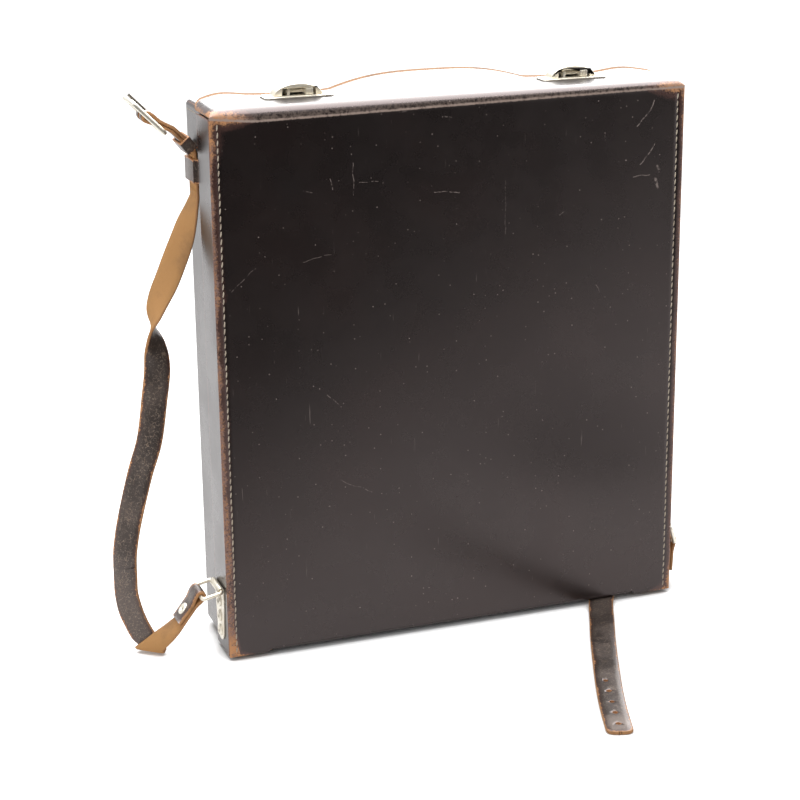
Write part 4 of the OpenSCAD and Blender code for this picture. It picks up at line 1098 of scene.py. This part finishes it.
def make_tab(name, bar, angle, first_len, back_len, body, node):
    path = smoothed([list(p) for p in wrapped(bar, angle, WRAP_R, first_len, back_len)], 2)
    tab = sweep_strap(name, level_edges(path, LUG_Y), body, (node,), band=TAB_BAND)
    u = upright(heading(angle), 0)
    middle = upright(bar, LUG_Y) + u * TAB_RIVET_AT
    cut_away(tab, round_bar(middle, Vector((-u.z, 0, u.x)), TAB_HOLE_R, 8.0), CUT)


make_tab("tab_left", left_bar, LEFT_ANGLE, TAB_RUN, TAB_BACK, "ring_left", "strap_tab_left")
make_tab("tab_right", right_bar, RIGHT_ANGLE, TAB_BACK, TAB_RUN, "ring_right", "strap_tab_right")

left_start = fold_ahead(left_bar, LEFT_ANGLE, WRAP_R, TAB_RUN, 1)[0]
right_start = fold_ahead(right_bar, RIGHT_ANGLE, WRAP_R, TAB_RUN, -1)[0]
left_leaving = [left_start + reach * heading(LEFT_ANGLE) for reach in (0, 1.5, 3)]
right_leaving = [right_start + reach * heading(RIGHT_ANGLE) for reach in (0, 1.5, 3)]

# The strap's fold on the floor, as in the part's source: its far and near edge, its radius and
# the way that it opens
FOLD_FAR, FOLD_NEAR, FOLD_R = Vector((-226.6, 4.5, 5.0)), Vector((-209.6, -8.5, 4.4)), 2.0
FOLD_BACK = Vector((0.607, 0.794, 0.0))
# X and Y of the strap where its lower and upper parts meet, and the way that its width points
JOIN = (-231.2, 8.0, 141.5)
STEPS = 8


def left_low_rows():
    """Far and near edge of the strap from the left tab down to its fold on the floor and up again."""
    rows = [[p.x, LUG_Y + STRAP_W / 2, p.y, p.x, LUG_Y - STRAP_W / 2, p.y] for p in left_leaving]
    rows += [[-206.7, -6, 22.5, -202.3, -23.2, 21.7], [-214.2, -3.4, 16.8, -205.2, -19.4, 15.6],
             [-221.4, -0.3, 10.7, -208.1, -14.7, 9.7]]
    for a in range(0, 181, 30):
        out = FOLD_R * (FOLD_BACK * math.cos(math.radians(a)) + Vector((0, 0, math.sin(math.radians(a)))))
        rows.append([*(FOLD_FAR - out), *(FOLD_NEAR - out)])
    rows += [[-229.3, 7.4, 9.5, -212.3, -2.3, 11], [-233.2, 9.9, 18.5, -217.2, 1, 20.5],
             [-236.6, 12.4, 29, -221.3, 2.2, 32], [-238.3, 13.5, 43, -224.1, 2.4, 45]]
    x, y, turn = JOIN
    half = heading(turn).to_3d() * STRAP_W / 2
    return rows + [[*(Vector((x, y, z)) + half), *(Vector((x, y, z)) - half)] for z in (56, 58, 60)]


# X, Y and Z of the strap's middle, the way that its width points, and 1 where the width is
# square to the path
LEFT_ROUTE = [[*row, 1] for row in (
    (-231.2, 8, 60, 141.5), (-231.2, 8, 62, 141.5), (-231.2, 8, 64, 141.5), (-230.2, 8.2, 77, 143),
    (-226, 9, 97, 145), (-217, 10, 129, 150), (-209, 10, 153, 155), (-204, 11, 181, 160),
    (-201, 11, 202, 172), (-201.5, 11, 218, 205), (-203, 11, 231, 250), (-201, 11, 242, 290),
    (-197, 12, 252, 312), (-191, 12, 264, 325), (-185, 13, 277, 327), (-179.5, 13, 290, 318),
    (-175.3, 13, 302, 302), (-171.6, 13, 312, 282), (-169.1, 13, 320, 270), (-169.1, 13, 322, 270),
    (-169.1, 13, 324, 270))]
RIGHT_ROUTE = [[p.x, LUG_Y, p.y, 90, 0] for p in right_leaving] + [
    [174.1, -14.8, 8.5, 90, 0], [173.6, -12.8, 4.6, 90, 0], [172.2, -11.2, 2.3, 90, 0],
    [170.2, -9.6, 1.62, 90, 0], [167, -8, 1.6, 90, 0]] + [[*row, 1] for row in (
        (160, -5, 1.6, 90), (152, -3.5, 1.6, 95), (143, -4.5, 1.6, 105), (134, -9, 1.6, 120),
        (126, -16.5, 1.6, 135), (119, -27, 1.6, 147), (111, -42, 1.6, 155), (98.5, -70, 1.6, 157),
        (86, -98, 1.6, 158), (70, -136, 1.6, 158), (55, -173, 1.6, 159), (45, -200, 1.6, 159),
        (36, -227, 1.6, 160))]
# Rows of the right route at which one piece of strap gives way to the next: beside the box,
# between the tab and the floor, where the strap gives when the front is let down, and the tail
RIGHT_SPLIT, TAIL_SPLIT = 3, 11
TAIL_TIP, TIP_ROWS = 7.0, 13
HOLES, HOLE_FIRST, HOLE_PITCH, HOLE_R = 5, 4.0, 16.0, 1.6


def route_edges(route):
    rows = smoothed(route, STEPS)
    edges = []
    for i, (x, y, z, turn, square) in enumerate(rows):
        along = Vector(rows[min(i + 1, len(rows) - 1)][:3]) - Vector(rows[max(i - 1, 0)][:3])
        along = along.normalized()
        flat = heading(turn).to_3d()
        turned = flat - square * flat.dot(along) * along
        side = turned * (STRAP_W / 2 / (turned - turned.dot(along) * along).length)
        edges.append((Vector((x, y, z)) + side, Vector((x, y, z)) - side))
    return edges


def middle_of(pair):
    return (pair[0] + pair[1]) / 2


def make_left_strap():
    edges = [(Vector(r[:3]), Vector(r[3:])) for r in smoothed(left_low_rows(), STEPS)]
    low = sweep_strap("strap_left_lower", edges, None, ("strap_left_low",), caps=(True, False))
    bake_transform(low)
    edges = route_edges(LEFT_ROUTE)
    high = sweep_strap("strap_left_upper", edges, None, ("strap_left_high",), caps=(False, False))
    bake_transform(high)


def make_right_strap():
    edges = route_edges(RIGHT_ROUTE)
    cut, tail = RIGHT_SPLIT * STEPS, TAIL_SPLIT * STEPS
    low = sweep_strap("strap_right_lower", edges, None, ("strap_right_low",), -1, 0, cut, (True, False))
    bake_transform(low)
    high = sweep_strap("strap_right_upper", edges, None, ("strap_right_high",), -1, cut, tail, (False, False))
    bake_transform(high)
    make_tail(edges, tail)


def make_tail(edges, first):
    """The strap's tail on the floor in front, with its holes and its rounded end."""
    base = middle_of(edges[-1])
    way = (base - middle_of(edges[-2])).normalized()
    half = (edges[-1][0] - edges[-1][1]) / 2
    for j in range(1, TIP_ROWS + 1):
        gone, share = tip_row(j, TIP_ROWS)
        middle = base + way * TAIL_TIP * gone
        edges.append((middle + half * share, middle - half * share))
    piece = sweep_strap("strap_tail_leather", edges, "box", ("strap_tail",), -1, first, None, (False, True),
                        TIP_ROWS)
    # The grain is most faded at the end
    end = at(base + way * TAIL_TIP)
    paint(piece.data, "raw", [1 - ease(((v.co - end).length / MM - 12) / 20) for v in piece.data.vertices])
    for i in range(HOLES):
        hole = base - way * (HOLE_FIRST + i * HOLE_PITCH)
        cut_away(piece, round_bar(hole, Vector((0, 0, 1)), HOLE_R, 6.0), 0)


make_left_strap()
make_right_strap()

KEEPER_X, KEEPER_Z, KEEPER_H = -169.1, 330.0, 16.0
SLEEVE_AT, SLEEVE_L = Vector((-174.3, 355.6)), 9.6
BEND_AT, END_ANGLE = Vector((-184.0, 366.5)), 150.0
BUCKLE_AT, BUCKLE_R = Vector((-200.5, 375.8)), 1.6
# The prong's slot: from and to along the strap, half across and half through it
SLOT_ALONG, SLOT_THROUGH, SLOT_HALF = (-6, 15.5), 10, 1.6


def make_strap_end():
    """The strap's end: up through the keeper and the sleeve, round the buckle's bar and back."""
    u, v = heading(SLEEVE_ANGLE), heading(END_ANGLE)
    n, m = Vector((u.y, -u.x)), Vector((v.y, -v.x))
    top = KEEPER_Z + KEEPER_H
    coming = [Vector((KEEPER_X, KEEPER_Z - 6)), Vector((KEEPER_X, top - 2)),
              Vector((KEEPER_X - 0.6, top + 1.5)), SLEEVE_AT - u * SLEEVE_L / 2 + n * LAYER,
              SLEEVE_AT + u * SLEEVE_L / 2 + n * LAYER, BEND_AT + m * LAYER]
    around = wrapped(BUCKLE_AT, END_ANGLE + 180, BUCKLE_R + 0.15 + STRAP_T / 2, 11, 11)
    returned = [BEND_AT - m * LAYER, SLEEVE_AT + u * SLEEVE_L / 2 - n * LAYER,
                SLEEVE_AT - u * 0.3 * SLEEVE_L - n * LAYER]
    path = smoothed(coming, 4) + [list(p) for p in around] + smoothed(returned, 4)
    piece = sweep_strap("strap_end_leather", level_edges(path, KEEPER_Y), "box", ("strap_end",))
    along, through = upright(v, 0), Vector((-v.y, 0, v.x))
    points = [upright(BUCKLE_AT, KEEPER_Y) + along * a + through * b + Vector((0, c, 0))
              for a in SLOT_ALONG for b in (-SLOT_THROUGH, SLOT_THROUGH) for c in (-SLOT_HALF, SLOT_HALF)]
    faces = [(0, 1, 3, 2), (4, 6, 7, 5), (0, 4, 5, 1), (2, 3, 7, 6), (0, 2, 6, 4), (1, 5, 7, 3)]
    cut_away(piece, (points, faces), CUT)


make_strap_end()


# ---------------------------------------------------------------- light and floor, in metres

FLOOR_REACH = 6.0
# The dark room's floor lies this far over the white one, and its wall stands at ROOM_FRONT
ROOM_LOW, ROOM_HIGH, ROOM_HALF, ROOM_FRONT, ROOM_BACK = 0.004, 4.0, 5.0, -6.0, -0.1
# Middle of the screen behind the case, and its reach to the left, right, down and up
BEHIND_AT = Vector((0.845, 2.35, 0.0))
BEHIND_LEFT, BEHIND_RIGHT, BEHIND_LOW, BEHIND_HIGH = 0.66, 2.64, 0.5, 3.0
ABOVE_X, ABOVE_Y, ABOVE_Z = (-0.7, 1.5), (-1.0, 1.9), 1.95
# Name, place, aim, size and power
LAMPS = (("overhead", (-0.25, 0.1, 1.9), (0, 0, 0.2), 1.4, 22.0),
         ("left_fill", (-1.5, -1.1, 1.0), (0, 0, 0.2), 0.9, 7.0))


def staged_sheet(name, corners, surface):
    """A flat sheet of the studio round the case."""
    mesh = bpy.data.meshes.new(name)
    mesh.from_pydata(corners, [], [(0, 1, 2, 3)])
    mesh.materials.append(surface)
    sheet = new_object(name, mesh)
    sheet.location = ORIGIN * MM
    return sheet


def make_floor():
    """White floor, which adds its own light so that it looks as white as the backdrop."""
    made, g, into = material("White floor", {
        "Base Color": (0.86, 0.86, 0.86, 1.0), "Roughness": 0.9, "Specular IOR Level": 0.1,
        "Emission Color": WHITE})
    # The light that the shader adds dies away in the contact shadow
    open_sky = g.add("ShaderNodeAmbientOcclusion", {"Distance": 0.016}).outputs["AO"]
    g.feed(g.times(g.seen_directly(), g.step(open_sky, 0.4, 0.85, 0.0, 0.72)), into["Emission Strength"])
    r = FLOOR_REACH
    staged_sheet("floor", [(-r, -r, 0), (r, -r, 0), (r, r, 0), (-r, r, 0)], made)


def card(name, corners, surface):
    """A flat card which only reflections see."""
    made = staged_sheet(name, corners, surface)
    made.visible_camera = False
    made.visible_diffuse = False
    made.visible_shadow = False
    made.visible_transmission = False


def glowing(name, strength):
    return material(name, {"Base Color": BLACK, "Emission Color": WHITE, "Emission Strength": strength})[0]


def make_room():
    """What the polished hide mirrors: the dark room past the white sweep, and two bright screens."""
    made, g, into = material("Dark room", {"Base Color": (0.008, 0.008, 0.008, 1.0), "Roughness": 1.0})
    place = g.own_place()
    parts = g.add("ShaderNodeSeparateXYZ", {0: place}).outputs
    ahead = g.minus(g.times(parts["Y"], -1.0), g.plus(parts["X"], 0.036))
    # A dark patch of the floor, which shows again in the front, low and right of its middle
    spot = g.vector("DISTANCE", place, (0.242, -0.353, 0.004), "Value")
    g.feed(g.highest(g.step(ahead, 0.06, 0.72), g.step(spot, 0.05, 0.12, 0.85, 0.0)), into["Alpha"])
    for name, y, z in (("room_floor", ROOM_BACK, ROOM_LOW), ("room_wall", ROOM_FRONT, ROOM_HIGH)):
        card(name, [(-ROOM_HALF, ROOM_FRONT, ROOM_LOW), (ROOM_HALF, ROOM_FRONT, ROOM_LOW),
                    (ROOM_HALF, y, z), (-ROOM_HALF, y, z)], made)
    aim = BEHIND_AT.normalized()
    across = Vector((aim.y, -aim.x, 0.0))
    left, right = BEHIND_AT - across * BEHIND_LEFT, BEHIND_AT + across * BEHIND_RIGHT
    low, high = Vector((0, 0, BEHIND_LOW)), Vector((0, 0, BEHIND_HIGH))
    card("screen_behind", [left + low, right + low, right + high, left + high], glowing("Screen behind", 7.0))
    (x0, x1), (y0, y1), z = ABOVE_X, ABOVE_Y, ABOVE_Z
    card("screen_above", [(x0, y0, z), (x1, y0, z), (x1, y1, z), (x0, y1, z)], glowing("Screen above", 11.0))


def make_lights():
    world = bpy.data.worlds.new("Studio")
    bpy.context.scene.world = world
    world.use_nodes = True
    g = Graph(world.node_tree)
    background = world.node_tree.nodes["Background"].inputs
    background["Color"].default_value = WHITE
    g.feed(g.step(g.seen_directly(), 0.0, 1.0, 0.62, 1.0), background["Strength"])
    for name, place, aim, size, power in LAMPS:
        lamp = bpy.data.lights.new(name, "AREA")
        lamp.shape = "SQUARE"
        lamp.size = size
        lamp.energy = power
        light = new_object(name, lamp)
        light.location = Vector(place) + ORIGIN * MM
        light.rotation_euler = (Vector(aim) - Vector(place)).to_track_quat("-Z", "Y").to_euler()


make_floor()
make_room()
make_lights()
bpy.context.scene.view_settings.view_transform = "Standard"
